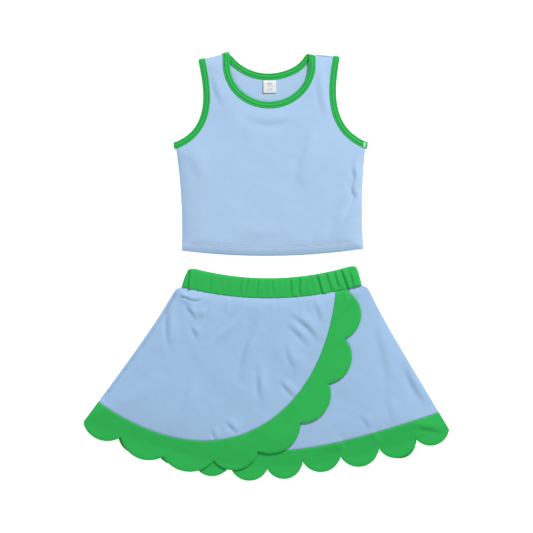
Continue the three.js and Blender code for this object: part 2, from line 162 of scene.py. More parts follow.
def inset(loop: Points, by: float) -> Points:
    """Moves each point of an anticlockwise loop inwards by about the same distance."""
    step = np.roll(loop, -1, 0) - loop
    step /= np.linalg.norm(step, axis=1)[:, None]
    out = np.c_[-step[:, 1], step[:, 0]]
    both = out + np.roll(out, 1, 0)
    size = np.linalg.norm(both, axis=1)[:, None]
    both = np.where(size > 1e-6, both / np.maximum(size, 1e-6), out)
    stretch = np.clip(1 / np.maximum(np.sum(both * out, 1), 0.2), 1, 1.8)[:, None]
    return loop + both * stretch * by


def scalloped(notches: Points, depths: tuple[float, ...]) -> Points:
    """Turns a row of notches into circular scallops that bulge to its right.

    Args:
        notches: the points between the scallops.
        depths: how far each scallop stands out.
    Returns:
        Points along the scallops, with every notch kept as a sharp corner.
    """
    rows = [notches[:1]]
    for a, b, depth in zip(notches[:-1], notches[1:], depths):
        half = np.linalg.norm(b - a) / 2
        along = (b - a) / (2 * half)
        away = np.array([along[1], -along[0]])
        radius = (half**2 + depth**2) / (2 * depth)
        x = np.linspace(-half, half, 41)[1:]
        bulge = np.sqrt(np.maximum(radius**2 - x**2, 0)) - (radius - depth)
        rows.append((a + b) / 2 + x[:, None] * along + bulge[:, None] * away)
    return np.vstack(rows)


class Line:
    """A line that points are measured from."""

    def __init__(self, points: Points) -> None:
        self.points = np.asarray(points, float)
        self.step = np.diff(self.points, axis=0)
        self.size = np.linalg.norm(self.step, axis=1)
        self.at = np.r_[0, np.cumsum(self.size)]

    def near(self, xy: Points) -> tuple[Points, Points, Points]:
        """Measures points from the line.

        Args:
            xy: (n, 2) points.
        Returns:
            Distance, share of the line's length at the nearest place, and side: +1 left, -1 right.
        """
        rows = []
        for part in np.array_split(xy, len(xy) * len(self.size) // 1_500_000 + 1):
            gap = part[:, None] - self.points[:-1]
            t = np.clip(np.einsum("ijk,jk->ij", gap, self.step) / self.size**2, 0, 1)
            off = gap - t[..., None] * self.step
            nearest = np.einsum("ijk,ijk->ij", off, off).argmin(1)
            row = np.arange(len(nearest))
            away = np.linalg.norm(off[row, nearest], axis=1)
            along = (self.at[nearest] + t[row, nearest] * self.size[nearest]) / self.at[-1]
            step, back = self.step[nearest], gap[row, nearest]
            rows.append(np.c_[away, along, np.sign(step[:, 0] * back[:, 1] - step[:, 1] * back[:, 0])])
        return tuple(np.vstack(rows).T)


def depth_inside(loop: Points, xy: Points) -> Points:
    """How far points lie inside an anticlockwise loop; negative outside it.

    Args:
        loop: (n, 2) points, the last one not repeated.
        xy: (m, 2) points.
    Returns:
        (m,) distances, exact near the loop and rough far from it.
    """
    many, near_by = 80, 9
    rough = loop[:: 4 if len(loop) > many else 1]
    away, _, side = Line(np.vstack([rough, rough[:1]])).near(xy)
    depth = away * side
    close = np.abs(depth) < near_by
    if close.any():
        away, _, side = Line(np.vstack([loop, loop[:1]])).near(xy[close])
        depth[close] = away * side
    return depth


# ------------------------------------------------------------------ how cloth lies


def level(height: float) -> tuple[tuple[float, float], ...]:
    """Heights of an edge that lies level."""
    return (0, height), (1, height)


@dataclass(frozen=True)
class Edge:
    """An edge that cloth comes down to.

    Attributes:
        line: where the edge runs.
        low: (share along, height) pairs.
        reach: how far in from the edge the cloth is level again.
        blunt: below 1, the cloth turns down late and roundly.
        side: +1 or -1 if the cloth past the edge, on the line's other side, stays at the edge's height.
    """

    line: Line
    low: tuple[tuple[float, float], ...]
    reach: float
    blunt: float = 0.7
    side: int = 0

    def drop(self, xy: Points, crown: float) -> tuple[Points, Points]:
        """How far each point lies below the crown, and how much of an edge it is, from 0 to 1."""
        away, along, side = self.line.near(xy)
        if self.side:
            away = np.where(side == self.side, away, 0)
        low = np.interp(along, *zip(*self.low))
        share = np.clip(away / self.reach, 0, 1)
        near = 1 - (1 - (1 - share) ** 2) ** self.blunt
        return (crown - low) * near, near


@dataclass(frozen=True)
class Fold:
    """A soft fold: a ridge with a trough on its steeper, right side.

    Attributes:
        path: the ridge, from end to end.
        high: height at the middle of the ridge; below 0 it's a dent.
        wide: half width.
        lean: above 0, the right side is the steeper one.
        trough: the trough's depth, as a share of high.
        taper: share of the length over which each end fades out.
    """

    path: tuple[tuple[float, float], ...]
    high: float
    wide: float
    lean: float = 0.35
    trough: float = 0.5
    taper: float = 0.48

    def lift(self, xy: Points) -> Points:
        """Height to add at each point."""
        points = np.array(self.path, float)
        low, high = points.min(0) - 5 * self.wide, points.max(0) + 5 * self.wide
        inside = np.all((xy > low) & (xy < high), axis=1)
        out = np.zeros(len(xy))
        if not inside.any():
            return out
        away, along, side = Line(softened(points)).near(xy[inside])
        signed = -away * side
        skew = 1 - self.lean * np.tanh(signed / self.wide)
        ridge = np.exp(-((signed / (1.25 * self.wide * skew)) ** 2))
        trough = np.exp(-(((signed - 1.6 * self.wide) / (0.8 * self.wide)) ** 2))
        ends = np.clip(np.minimum(along, 1 - along) / max(self.taper, 1e-3), 0, 1)
        ends = ends * ends * (3 - 2 * ends)
        out[inside] = self.high * ends * (ridge - self.trough * trough)
        return out


@dataclass(frozen=True)
class Rumple:
    """Slow unevenness of cloth that was smoothed down by hand.

    Attributes:
        seed: keeps it the same each time.
        high: typical height.
        short, long: range of wavelengths.
        only_up: True keeps it clear of the layer below.
    """

    seed: int
    high: float
    short: float = 28.0
    long: float = 75.0
    only_up: bool = False

    def lift(self, xy: Points) -> Points:
        """Height to add at each point."""
        rng = np.random.default_rng(self.seed)
        waves = 11
        turn, phase = rng.uniform(0, 2 * np.pi, (2, waves))
        length = rng.uniform(self.short, self.long, waves)
        swing = np.sin((xy @ np.vstack([np.cos(turn), np.sin(turn)])) * (2 * np.pi / length) + phase)
        out = self.high * swing.sum(1) * math.sqrt(2 / waves)
        return np.maximum(out + self.high, 0) if self.only_up else out


@dataclass(frozen=True)
class Gathers:
    """Fine puckers that run down from a gathered seam and fade out.

    Attributes:
        line: the seam.
        seed: keeps them the same each time.
        high: height at the seam.
        pitch: typical distance between puckers.
        reach: how far they run.
    """

    line: Line
    seed: int
    high: float
    pitch: float
    reach: float

    def lift(self, xy: Points) -> Points:
        """Height to add at each point."""
        away, along, _ = self.line.near(xy)
        at = along * self.line.at[-1]
        rng = np.random.default_rng(self.seed)
        total = np.zeros(len(xy))
        for share in (0.7, 1.0, 1.6, 2.6):
            slant = rng.uniform(-0.25, 0.25)
            total += np.sin((at + slant * away) * 2 * np.pi / (self.pitch * share) + rng.uniform(0, 6.3))
        return self.high * np.maximum(total / 2, 0) * np.exp(-((away / self.reach) ** 1.3))


@dataclass(frozen=True)
class Groove:
    """A shallow groove beside a seam.

    Attributes:
        line: the seam.
        away: distance of the groove from it.
        deep: depth.
        wide: half width.
        span: the shares of the seam's length between which it shows.
    """

    line: Line
    away: float
    deep: float
    wide: float
    span: tuple[float, float] = (0.04, 0.86)

    def lift(self, xy: Points) -> Points:
        """Height to add at each point."""
        away, along, _ = self.line.near(xy)
        ends = np.clip(np.minimum(along - self.span[0], self.span[1] - along) / 0.05, 0, 1)
        return -self.deep * np.exp(-(((away - self.away) / self.wide) ** 2)) * ends


class Surface:
    """The middle of one layer of cloth as a height over the floor."""

    def __init__(self, crown: float, edges=(), reliefs=(), under=None, pinned: Line | None = None) -> None:
        """Keeps what shapes the cloth.

        Args:
            crown: height away from every edge.
            edges, reliefs: the edges it comes down to, and the folds and grooves in it.
            under: the surface it lies on, or None for the floor.
            pinned: the seam past which it's caught and can't lift.
        """
        self.crown, self.edges, self.reliefs, self.under, self.pinned = crown, edges, reliefs, under, pinned

    def __call__(self, xy: Points) -> Points:
        """Height at each point.

        Args:
            xy: (n, 2) points.
        Returns:
            (n,) heights.
        """
        sunk, raised, edge = np.zeros(len(xy)), np.zeros(len(xy)), np.zeros(len(xy))
        for item in self.edges:
            drop, near = item.drop(xy, self.crown)
            sunk += np.maximum(drop, 0) ** 10
            raised += np.maximum(-drop, 0) ** 10
            edge = np.maximum(edge, near)
        height = self.crown - sunk**0.1 + raised**0.1
        free = 1.0
        if self.pinned is not None:
            # Cloth caught in the waistband can't lift; below it the folds start within a few millimetres.
            away, _, side = self.pinned.near(xy)
            free = np.clip(np.where(side < 0, away - 0.5, 0) / 4.5, 0, 1)
            free = free * free * (3 - 2 * free)
        for relief in self.reliefs:
            calm = 1 - 0.85 * edge if isinstance(relief, Rumple) and not relief.only_up else 1.0
            height = height + relief.lift(xy) * calm * free
        return height + (self.under(xy) if self.under else 0.0)


class Between:
    """The surface half-way between two others."""

    def __init__(self, low: Surface, high: Surface) -> None:
        self.low, self.high = low, high

    def __call__(self, xy: Points) -> Points:
        """Height at each point."""
        return (self.low(xy) + self.high(xy)) / 2


# ------------------------------------------------------------------ meshes


def grid_step() -> float:
    """Spacing of the points inside a panel: about twice the drawn cloth's thickness."""
    return 2.5


def new_mesh(name: str, vertices: Points, faces: list, flat: Points) -> bpy.types.Object:
    """Makes a smooth mesh object.

    Args:
        name: the object's name.
        vertices: (n, 3) points in millimetres.
        faces: lists of vertex numbers.
        flat: (n, 2) place of each vertex on the flat cloth, in millimetres, kept as a UV map in metres.
    Returns:
        The new object.
    """
    mesh = bpy.data.meshes.new(name)
    mesh.from_pydata((vertices * MM).tolist(), [], faces)
    mesh.validate()
    mesh.shade_smooth()
    corner = np.empty(len(mesh.loops), np.int32)
    mesh.loops.foreach_get("vertex_index", corner)
    layer = mesh.uv_layers.new(name="cloth")
    layer.data.foreach_set("uv", (flat[corner] * MM).astype(np.float32).ravel())
    made = bpy.data.objects.new(name, mesh)
    bpy.context.scene.collection.objects.link(made)
    return made


def normals_of(points: Points, triangles: Points) -> Points:
    """Unit vertex normals of a triangle mesh."""
    a, b, c = (points[triangles[:, k]] for k in range(3))
    face = np.cross(b - a, c - a)
    total = np.zeros_like(points)
    for k in range(3):
        np.add.at(total, triangles[:, k], face)
    return total / np.maximum(np.linalg.norm(total, axis=1), 1e-9)[:, None]


def cloth_sheet(
    name: str, outline: Points, surface, shift: float = 0.0, ply: float = CLOTH
) -> bpy.types.Object:
    """Cuts one ply of cloth and lays it on a surface, as a closed mesh with a rounded edge.

    Args:
        name: the object's name.
        outline: loop in the laid-out plan.
        surface: gives the height at (n, 2) points.
        shift: height of this ply's middle over the surface.
        ply: thickness.
    Returns:
        The new object.
    """
    step = grid_step()
    rim_step, least_step = 1.4, 0.35
    rails = (1.1, 2.2, 3.4, 4.6, 6.0)  # distances in from the edge of the rows of points along it
    if np.linalg.norm(outline[0] - outline[-1]) < 1e-3:
        outline = outline[:-1]
    outline = densified(np.vstack([outline, outline[:1]]), rim_step)[:-1]
    keep = np.linalg.norm(outline - np.roll(outline, 1, 0), axis=1) > least_step
    outline = outline[keep]
    if signed_area(outline) < 0:
        outline = outline[::-1]
    ring = inset(outline, ply / 2)
    size = len(ring)
    low, high = outline.min(0), outline.max(0)
    rows = np.arange(low[1], high[1], step * 0.866)
    columns = np.arange(low[0], high[0], step)
    x, y = np.meshgrid(columns, rows)
    x = x + (np.arange(len(rows)) % 2)[:, None] * step / 2
    inner = np.c_[x.ravel(), y.ravel()]
    inner = inner[depth_inside(ring, inner) > step * 0.75]
    for depth in rails:
        rail = inset(outline, ply / 2 + depth)[:: 1 if depth < 5 else 2]
        inner = np.vstack([inner, rail[depth_inside(ring, rail) > depth * 0.93]])
    flat = np.vstack([ring, inner])
    edges = [(i, (i + 1) % size) for i in range(size)]
    out = geometry.delaunay_2d_cdt([Vector(p) for p in flat], edges, [], 1, 1e-5)
    plan = np.array([tuple(p) for p in out[0]])
    triangles = np.array([f for f in out[2] if len(f) == 3])
    place = np.full(len(flat), -1)
    for made, sources in enumerate(out[3]):
        for source in sources:
            place[source] = made
    middle = np.c_[plan, surface(plan) + shift]
    up = normals_of(middle, triangles)
    rim = place[:size]
    count = len(plan)
    rim_middle = np.c_[outline, middle[rim, 2] - (surface(ring) - surface(outline))]
    slope = math.sqrt(0.5) * ply / 2
    half_way = np.c_[inset(outline, ply / 2 - slope), 0.3 * rim_middle[:, 2] + 0.7 * middle[rim, 2]]
    vertices = np.vstack([
        middle + up * ply / 2, middle - up * ply / 2,
        half_way + up[rim] * slope, half_way - up[rim] * slope, rim_middle,
    ])
    top, under = 2 * count, 2 * count + size
    outer = 2 * count + 2 * size
    faces = triangles.tolist() + (triangles[:, ::-1] + count).tolist()
    for i in range(size):
        j = (i + 1) % size
        a, b = int(rim[i]), int(rim[j])
        faces.append([a, top + i, top + j, b])
        faces.append([top + i, outer + i, outer + j, top + j])
        faces.append([outer + i, under + i, under + j, outer + j])
        faces.append([under + i, a + count, b + count, under + j])
    return new_mesh(name, vertices, faces, np.vstack([plan, plan, outline, outline, outline]))


def swept(name: str, rows: Points, looped: bool, flat: Points | None = None) -> bpy.types.Object:
    """Joins closed cross-sections into a mesh.

    Args:
        name: the object's name.
        rows: (stations, section, 3) points.
        looped: True if the last section joins the first; otherwise both ends are closed.
        flat: (stations, section, 2) place on the flat cloth, or None to measure it.
    Returns:
        The new object.
    """
    stations, size, _ = rows.shape
    if flat is None:
        middle = rows.mean(1)
        along = arc_length(middle)
        around = arc_length(rows[0])
        flat = np.stack(np.meshgrid(along, around, indexing="ij"), -1)
    i = np.arange(stations if looped else stations - 1)
    k = np.arange(size)
    a = (i[:, None] * size + k).ravel()
    b = (i[:, None] * size + (k + 1) % size).ravel()
    after = ((i + 1) % stations)[:, None] * size
    c, d = (after + (k + 1) % size).ravel(), (after + k).ravel()
    faces = np.c_[a, d, c, b].tolist()
    if not looped:
        faces += [list(range(size)), list(range(stations * size - 1, (stations - 1) * size - 1, -1))]
    made = new_mesh(name, rows.reshape(-1, 3), faces, flat.reshape(-1, 2))
    volume = sum(
        Vector(made.data.vertices[p.vertices[0]].co).dot(p.normal) * p.area for p in made.data.polygons
    )
    if volume < 0:
        made.data.flip_normals()
    return made


def stitch_rows(name: str, rows: list[Points], pitch: float, long: float, thick: float) -> bpy.types.Object:
    """Lays a row of separate thread stitches along each line.

    Args:
        name: the object's name.
        rows: (n, 3) lines on the cloth.
        pitch: distance from one stitch to the next.
        long, thick: each stitch's length and thickness.
    Returns:
        One object holding every stitch.
    """
    angle = np.linspace(0, 2 * np.pi, 7)[:-1]
    shape = [(-0.5, 0.3), (-0.36, 0.85), (0.36, 0.85), (0.5, 0.3)]
    vertices, faces, flat = [], [], []
    for row in rows:
        at = arc_length(row)
        for start in np.arange(pitch * 0.3, at[-1] - long, pitch):
            a, b = (np.array([np.interp(s, at, c) for c in row.T]) for s in (start, start + long))
            along = (b - a) / np.linalg.norm(b - a)
            side = np.cross((0, 0, 1), along)
            side /= np.linalg.norm(side)
            up = np.cross(along, side)
            first = len(vertices) * 24
            bars = []
            for share, width in shape:
                centre = (a + b) / 2 + along * share * long
                ring = np.cos(angle)[:, None] * side + np.sin(angle)[:, None] * up * 0.75
                bars.append(centre + ring * width * thick / 2)
            vertices.append(np.vstack(bars))
            flat.append(np.c_[np.repeat([s * long for s, _ in shape], 6) + start, np.tile(angle, 4)])
            for r in range(3):
                for k in range(6):
                    n = (k + 1) % 6
                    lower, upper = first + r * 6, first + (r + 1) * 6
                    faces.append([lower + k, lower + n, upper + n, upper + k])
            faces.append([first + k for k in range(5, -1, -1)])
            faces.append([first + 18 + k for k in range(6)])
    return new_mesh(name, np.vstack(vertices), faces, np.vstack(flat))


# ------------------------------------------------------------------ folded strips


def stations_along(path: Points, left: bool, ends: tuple[Points, Points]) -> Placed:
    """Places cross-sections along an edge.

    Args:
        path: the strip's folded edge.
        left: True if the cloth lies to the left of it.
        ends: the direction in which the strip is cut at its start and end.
    Returns:
        (n, 2) origins, and (n, 2) vectors across the strip for each millimetre of its width.
    """
    soft = 9.0  # distance over which the sections turn into the directions of the ends
    across = left_normals(path) * (1 if left else -1)
    at = arc_length(path)
    square = across.copy()
    for away, end in ((at, ends[0]), (at[-1] - at, ends[1])):
        share = np.clip(1 - away / soft, 0, 1)[:, None]
        share = share * share * (3 - 2 * share)
        square = square * (1 - share) + np.asarray(end) * share
    square /= np.linalg.norm(square, axis=1)[:, None]
    return path, square / np.maximum(np.sum(square * across, 1), 0.5)[:, None]


@dataclass(frozen=True)
class FoldedStrip:
    """A strip folded over an edge that runs round a front and a back layer and joins up at both ends.

    Attributes:
        section: (m, 2) closed loop of (distance in from the fold, height over the middle).
        front, back: surfaces of the two layers.
    """

    section: Points
    front: Surface
    back: Surface

    def ring(self, ahead: Placed, behind: Placed, out: tuple[Points, Points]) -> Points:
        """Sections once round: front, turn, back, turn.

        Args:
            ahead, behind: origins and cross vectors on the front and on the back, both in the same sense.
            out: directions in which the turns at the start and at the end stand out.
        Returns:
            (stations, section, 3) points.
        """
        u, w = self.section.T
        rows = []

        def plan(place: Placed, i: int) -> Points:
            """A section seen from above."""
            return place[0][i] + u[:, None] * place[1][i]

        def turn(i: int, away: Points, angles: Points) -> None:
            """Adds the sections that go round from one layer to the other."""
            first, last = plan(ahead, i), plan(behind, i)
            upper, lower = self.front(first), self.back(last)
            middle, radius = (upper + lower) / 2, (upper - lower) / 2
            for angle in angles:
                share = angle / np.pi
                spread = np.maximum(radius + w, 0.02)
                outward = (spread * math.sin(angle))[:, None] * np.asarray(away)
                xy = first * (1 - share) + last * share + outward
                rows.append(np.c_[xy, middle + spread * math.cos(angle)])

        for i in range(len(ahead[0])):
            xy = plan(ahead, i)
            rows.append(np.c_[xy, self.front(xy) + w])
        steps = np.linspace(0, np.pi, 9)[1:-1]
        turn(-1, out[1], steps)
        for i in range(len(behind[0]) - 1, -1, -1):
            xy = plan(behind, i)
            rows.append(np.c_[xy, self.back(xy) - w])
        turn(0, out[0], steps[::-1])
        return np.array(rows)


def folded_section(outer: list[tuple[float, float]], slot: float, start: float) -> Points:
    """Closes a U-shaped section round a slot.

    Args:
        outer: (distance in, height) of the upper face from the open end to the fold.
        slot: half the slot's thickness.
        start: distance from the fold to the slot's closed end.
    Returns:
        (m, 2) closed loop.
    """
    upper = np.array(outer, float)
    lower = (upper * (1, -1))[::-1][1:]
    end = upper[0, 0]
    inside = np.array([(end, -slot), (end * 0.6, -slot), (start + 0.4, -slot), (start, 0),
                       (start + 0.4, slot), (end * 0.6, slot), (end, slot)])
    return np.vstack([upper, lower, inside])


# ------------------------------------------------------------------ finishes


def linear(code: int) -> tuple[float, float, float, float]:
    """Turns an sRGB colour such as 0x32b458 into linear RGBA."""
    parts = [((code >> shift) & 255) / 255 for shift in (16, 8, 0)]
    return (*(p / 12.92 if p <= 0.04045 else ((p + 0.055) / 1.055) ** 2.4 for p in parts), 1.0)


def add_node(tree, kind: str, settings: dict | None = None, **inputs):
    """Adds a node.

    Args:
        tree: the node tree.
        kind: node type.
        settings: the node's own properties.
        inputs: values or output sockets by input name, with _ for a space, or by number, as in i0.
    Returns:
        The node.
    """
    node = tree.nodes.new(kind)
    for key, value in (settings or {}).items():
        setattr(node, key, value)
    for key, value in inputs.items():
        numbered = key[0] == "i" and key[1:].isdigit()
        socket = node.inputs[int(key[1:]) if numbered else key.replace("_", " ")]
        if isinstance(value, bpy.types.NodeSocket):
            tree.links.new(value, socket)
        else:
            socket.default_value = value
    return node


class Knit(Enum):
    """How a knitted surface is drawn."""

    JERSEY = "fine columns"
    TRIM = "smooth, closed face"
    BRAID = "coarse plait"
    SATIN = "woven floats"
    THREAD = "twisted yarn"


@dataclass(frozen=True)
class Finish:
    """One fabric or thread.

    Attributes:
        name: what it's made of and how.
        colour: sRGB colour.
        knit: the pattern of its surface.
        column: distance between the pattern's columns.
        relief: depth of the pattern.
        roughness, sheen: how it takes the light.
        mottle: how uneven the dye is, as a share of its brightness.
    """

    name: str
    colour: int
    knit: Knit
    column: float
    relief: float
    roughness: float
    sheen: float
    mottle: float = 0.03

    def build(self) -> bpy.types.Material:
        """Builds the material, or gives the one already built."""
        found = bpy.data.materials.get(self.name)
        if found:
            return found
        material = bpy.data.materials.new(self.name)
        material.use_nodes = True
        tree = material.node_tree
        tree.nodes.clear()
        place = add_node(tree, "ShaderNodeUVMap", {"uv_map": "cloth"}).outputs["UV"]

        def scaled(value, share: float, plus=0.0):
            """Multiplies one output by a share and adds another."""
            setting = {"operation": "MULTIPLY_ADD"}
            return add_node(tree, "ShaderNodeMath", setting, i0=value, i1=share, i2=plus).outputs[0]

        def bands(direction: str, apart: float):
            """Bands across one direction of the cloth, apart millimetres from each other."""
            setting = {"wave_type": "BANDS", "bands_direction": direction}
            scale = 1000 / apart / 20 * math.pi
            wave = add_node(tree, "ShaderNodeTexWave", setting, Vector=place, Scale=scale, Distortion=0.8,
                            Detail=1.0)
            return wave.outputs["Fac"]

        # Uneven take-up of dye: soft clouds a few centimetres wide.
        clouds = add_node(tree, "ShaderNodeTexNoise", Vector=place, Scale=38.0, Detail=3.0, Roughness=0.55)
        fibre = add_node(tree, "ShaderNodeTexNoise", Vector=place, Scale=1400.0, Detail=2.0, Roughness=0.6)
        both = scaled(fibre.outputs["Fac"], 0.5, clouds.outputs["Fac"])
        value = add_node(tree, "ShaderNodeMapRange", Value=both, From_Min=0.35, From_Max=1.15,
                         To_Min=1 - self.mottle, To_Max=1 + self.mottle)
        colour = add_node(tree, "ShaderNodeHueSaturation", Value=value.outputs[0], Color=linear(self.colour))
        # Columns of stitches, their pitch the cloth's own; the yarn's twist breaks them up.
        wander = add_node(tree, "ShaderNodeTexNoise", Vector=place, Scale=260.0, Detail=2.0)
        columns, rows = bands("X", self.column), bands("Y", self.column * 0.75)
        share = {Knit.JERSEY: (0.75, 0.25), Knit.TRIM: (0.5, 0.3), Knit.BRAID: (0.6, 0.6),
                 Knit.SATIN: (0.3, 0.7), Knit.THREAD: (0.2, 0.2)}[self.knit]
        height = scaled(wander.outputs["Fac"], 0.6, scaled(rows, share[1], scaled(columns, share[0])))
        bump = add_node(tree, "ShaderNodeBump", Strength=0.6, Distance=self.relief * MM, Height=height)
        shader = add_node(tree, "ShaderNodeBsdfPrincipled", Base_Color=colour.outputs[0],
                          Normal=bump.outputs[0], Roughness=self.roughness, Specular_IOR_Level=0.25,
                          Sheen_Weight=self.sheen, Sheen_Roughness=0.45)
        add_node(tree, "ShaderNodeOutputMaterial", Surface=shader.outputs[0])
        return material


class Finishes:
    """The uniform's fabrics and threads."""

    # Brushed interlock jersey: matt and even, with a faint bloom where it turns away.
    top_jersey = Finish("brushed_jersey_top", 0xa4c1e0, Knit.JERSEY, 1.1, 0.05, 0.9, 0.08)
    skirt_jersey = Finish("brushed_jersey_skirt", 0x9abadb, Knit.JERSEY, 1.1, 0.05, 0.9, 0.08)
    # Closed double knit, a little smoother than the jersey, so its folds catch more light.
    trim = Finish("double_knit_trim", 0x27ad4e, Knit.TRIM, 1.2, 0.05, 0.75, 0.06, 0.04)
    # The trim's green thread, painted a much darker green than the trim so its stitch rows show the shade of
    # the binding's grooves as painted shade.
    groove_shade_thread = Finish("thread_painted_groove_shade", 0x0e5f28, Knit.THREAD, 0.5, 0.05, 0.55, 0.05)
    jersey_thread = Finish("jersey_polyester_thread", 0xcfe1f2, Knit.THREAD, 0.5, 0.05, 0.55, 0.05)
    label = Finish("woven_satin_label", 0xd9dadd, Knit.SATIN, 0.5, 0.03, 0.5, 0.0, 0.01)
    label_yarn = Finish("label_grey_yarn", 0x53565c, Knit.THREAD, 0.5, 0.03, 0.6, 0.0)
    elastic = Finish("braided_elastic", 0xf1efe8, Knit.BRAID, 1.6, 0.15, 0.7, 0.0)
    overlock = Finish("overlock_thread", 0x9dbbd9, Knit.BRAID, 1.5, 0.2, 0.75, 0.0)


# ------------------------------------------------------------------ putting pieces in place


class Slot(Enum):
    """The record's material slots."""

    KNIT = "knit_jersey"
    TRIM = "trim_knit"
    LABEL = "woven_label"
    ELASTIC = "braided_elastic"
    THREAD = "overlock_thread"


class Held(Enum):
    """How a sheet is held."""

    LAID = "laid"
    FOLDED = "folded"
    GATHERED = "gathered"


@dataclass(frozen=True)
class Bend:
    """Where cloth turns from one body to the next.

    Attributes:
        fixed, moving: the two bodies.
        start, end: points in metres between which it passes from the first to the second.
    """

    fixed: str
    moving: str
    start: tuple[float, float, float]
    end: tuple[float, float, float]


def settle(
    piece: bpy.types.Object, finish: Finish, motion: str | Bend,
    nodes: tuple[str, ...] = (),
) -> bpy.types.Object:
    """Gives a finished piece its material and ties it to its body; for a bend it only bakes the piece's
    place into its mesh.

    Args:
        piece: the object.
        finish: its fabric or thread.
        motion: the body it rides on, or a bend between two bodies, for which only the transform is baked.
        nodes: the solids it stands for.
    Returns:
        The same object.
    """
    piece.data.materials.append(finish.build())
    if nodes:
        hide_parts(*nodes)
    if isinstance(motion, Bend):
        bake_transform(piece)
    else:
        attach(piece, motion)
    LOG.info("%s: %d faces", piece.name, len(piece.data.polygons))
    return piece


# ------------------------------------------------------------------ the crop top


@dataclass(frozen=True)
class TopPattern:
    """Flat pattern of the top: origin at the centre, level with the shoulders' neck ends."""

    neck_half: float = 57.3
    neck_straight: float = 14.7
    neck_round: float = 54.3
    back_neck: float = 27.6
    shoulder_tip: tuple[float, float] = (102.6, -8.0)
    underarm: tuple[float, float] = (138.7, -127.2)
    arm_handles: tuple[tuple[float, float], tuple[float, float]] = ((-6.1, -34.5), (-55.7, 22.8))
    side_handle: tuple[float, float] = (127.65, -205.6)
    hem_corner: tuple[float, float] = (132.0, -284.0)
    hem_sag: float = 9.0
    hem_deep: float = 12.3
    turned: float = math.radians(1.1)
    place: tuple[float, float] = (3.6, 308.0 + CENTRE_SHIFT)

    def laid(self, points: Points) -> Points:
        """Pattern points as they lie in the layout, the left side a little higher than the right.

        The sides differ most at the underarms, and again where the shoulders meet the neck.
        """
        c, s = math.cos(self.turned), math.sin(self.turned)
        x, y = points.T
        lower = np.interp(-y, (0, 60, 127, 284), (0, 0.35, 2.4, 1.2)) * x / self.underarm[0]
        lower = lower + 2.1 * np.sign(x) * np.exp(-(((abs(x) - 55) / 22) ** 2)) * np.clip(1 + y / 45, 0, 1)
        points = np.c_[x, y - lower]
        return points @ np.array([[c, s], [-s, c]]) + self.place

    def shoulder_y(self, x: float) -> float:
        """Height of the shoulder line at x."""
        fall, run = 8, 45.3
        return -(x - self.neck_half) * fall / run

    def front_neck(self, offset: float = 0.0) -> Points:
        """Front neck edge from the left shoulder round to the right."""
        across, down = self.neck_half + offset, self.neck_round + offset
        angle = np.linspace(0, np.pi / 2, 60)
        curve = np.c_[across * np.sin(angle), -self.neck_straight - down * np.cos(angle)]
        right = join(curve, [(across, self.shoulder_y(across))])
        return join(mirrored(right), right)

    def back_neck_edge(self, offset: float = 0.0) -> Points:
        """Back neck edge from the left shoulder round to the right."""
        radius = (self.neck_half**2 + self.back_neck**2) / (2 * self.back_neck)
        middle = radius - self.back_neck
        radius += offset
        x = self.neck_half + 0.78 * offset
        angle = np.linspace(-np.pi / 2, math.atan2(self.shoulder_y(x) - middle, x), 60)
        right = np.c_[radius * np.cos(angle), middle + radius * np.sin(angle)]
        # The right shoulder was laid down twisted: its back edge slipped in towards the neck.
        slip = np.clip((right[:, :1] - 20) / (self.neck_half - 20), 0, 1) ** 2
        return join(mirrored(right), right - slip * (6.5, 2.6))

    def armhole(self, offset: float = 0.0) -> Points:
        """Right armhole edge from the shoulder tip to the underarm."""
        tip, low = np.array(self.shoulder_tip), np.array(self.underarm)
        curve = resampled(cubic(tip, tip + self.arm_handles[0], low + self.arm_handles[1], low, 120), 1.5)
        return curve - left_normals(curve) * offset

    def side(self, start: float = 0.0) -> Points:
        """Right side seam to the hem, from the underarm or from a share of the way down."""
        line = quadratic(self.underarm, self.side_handle, self.hem_corner)
        return line[int(start * len(line)):]

    def hem(self, up: float = 0.0) -> Points:
        """Hem from left to right."""
        return hanging_arc(self.hem_corner[0] - 0.02 * up, self.hem_corner[1] + up, self.hem_sag)

    def panel(self, neck: Points, offset: float) -> Points:
        """Outline of a panel whose bound edges are cut back by offset."""
        half = len(neck) // 2
        right = join(neck[half:], self.armhole(offset), self.side(0.05), self.hem()[::-1][: 45])
        return join(right, mirrored(right))


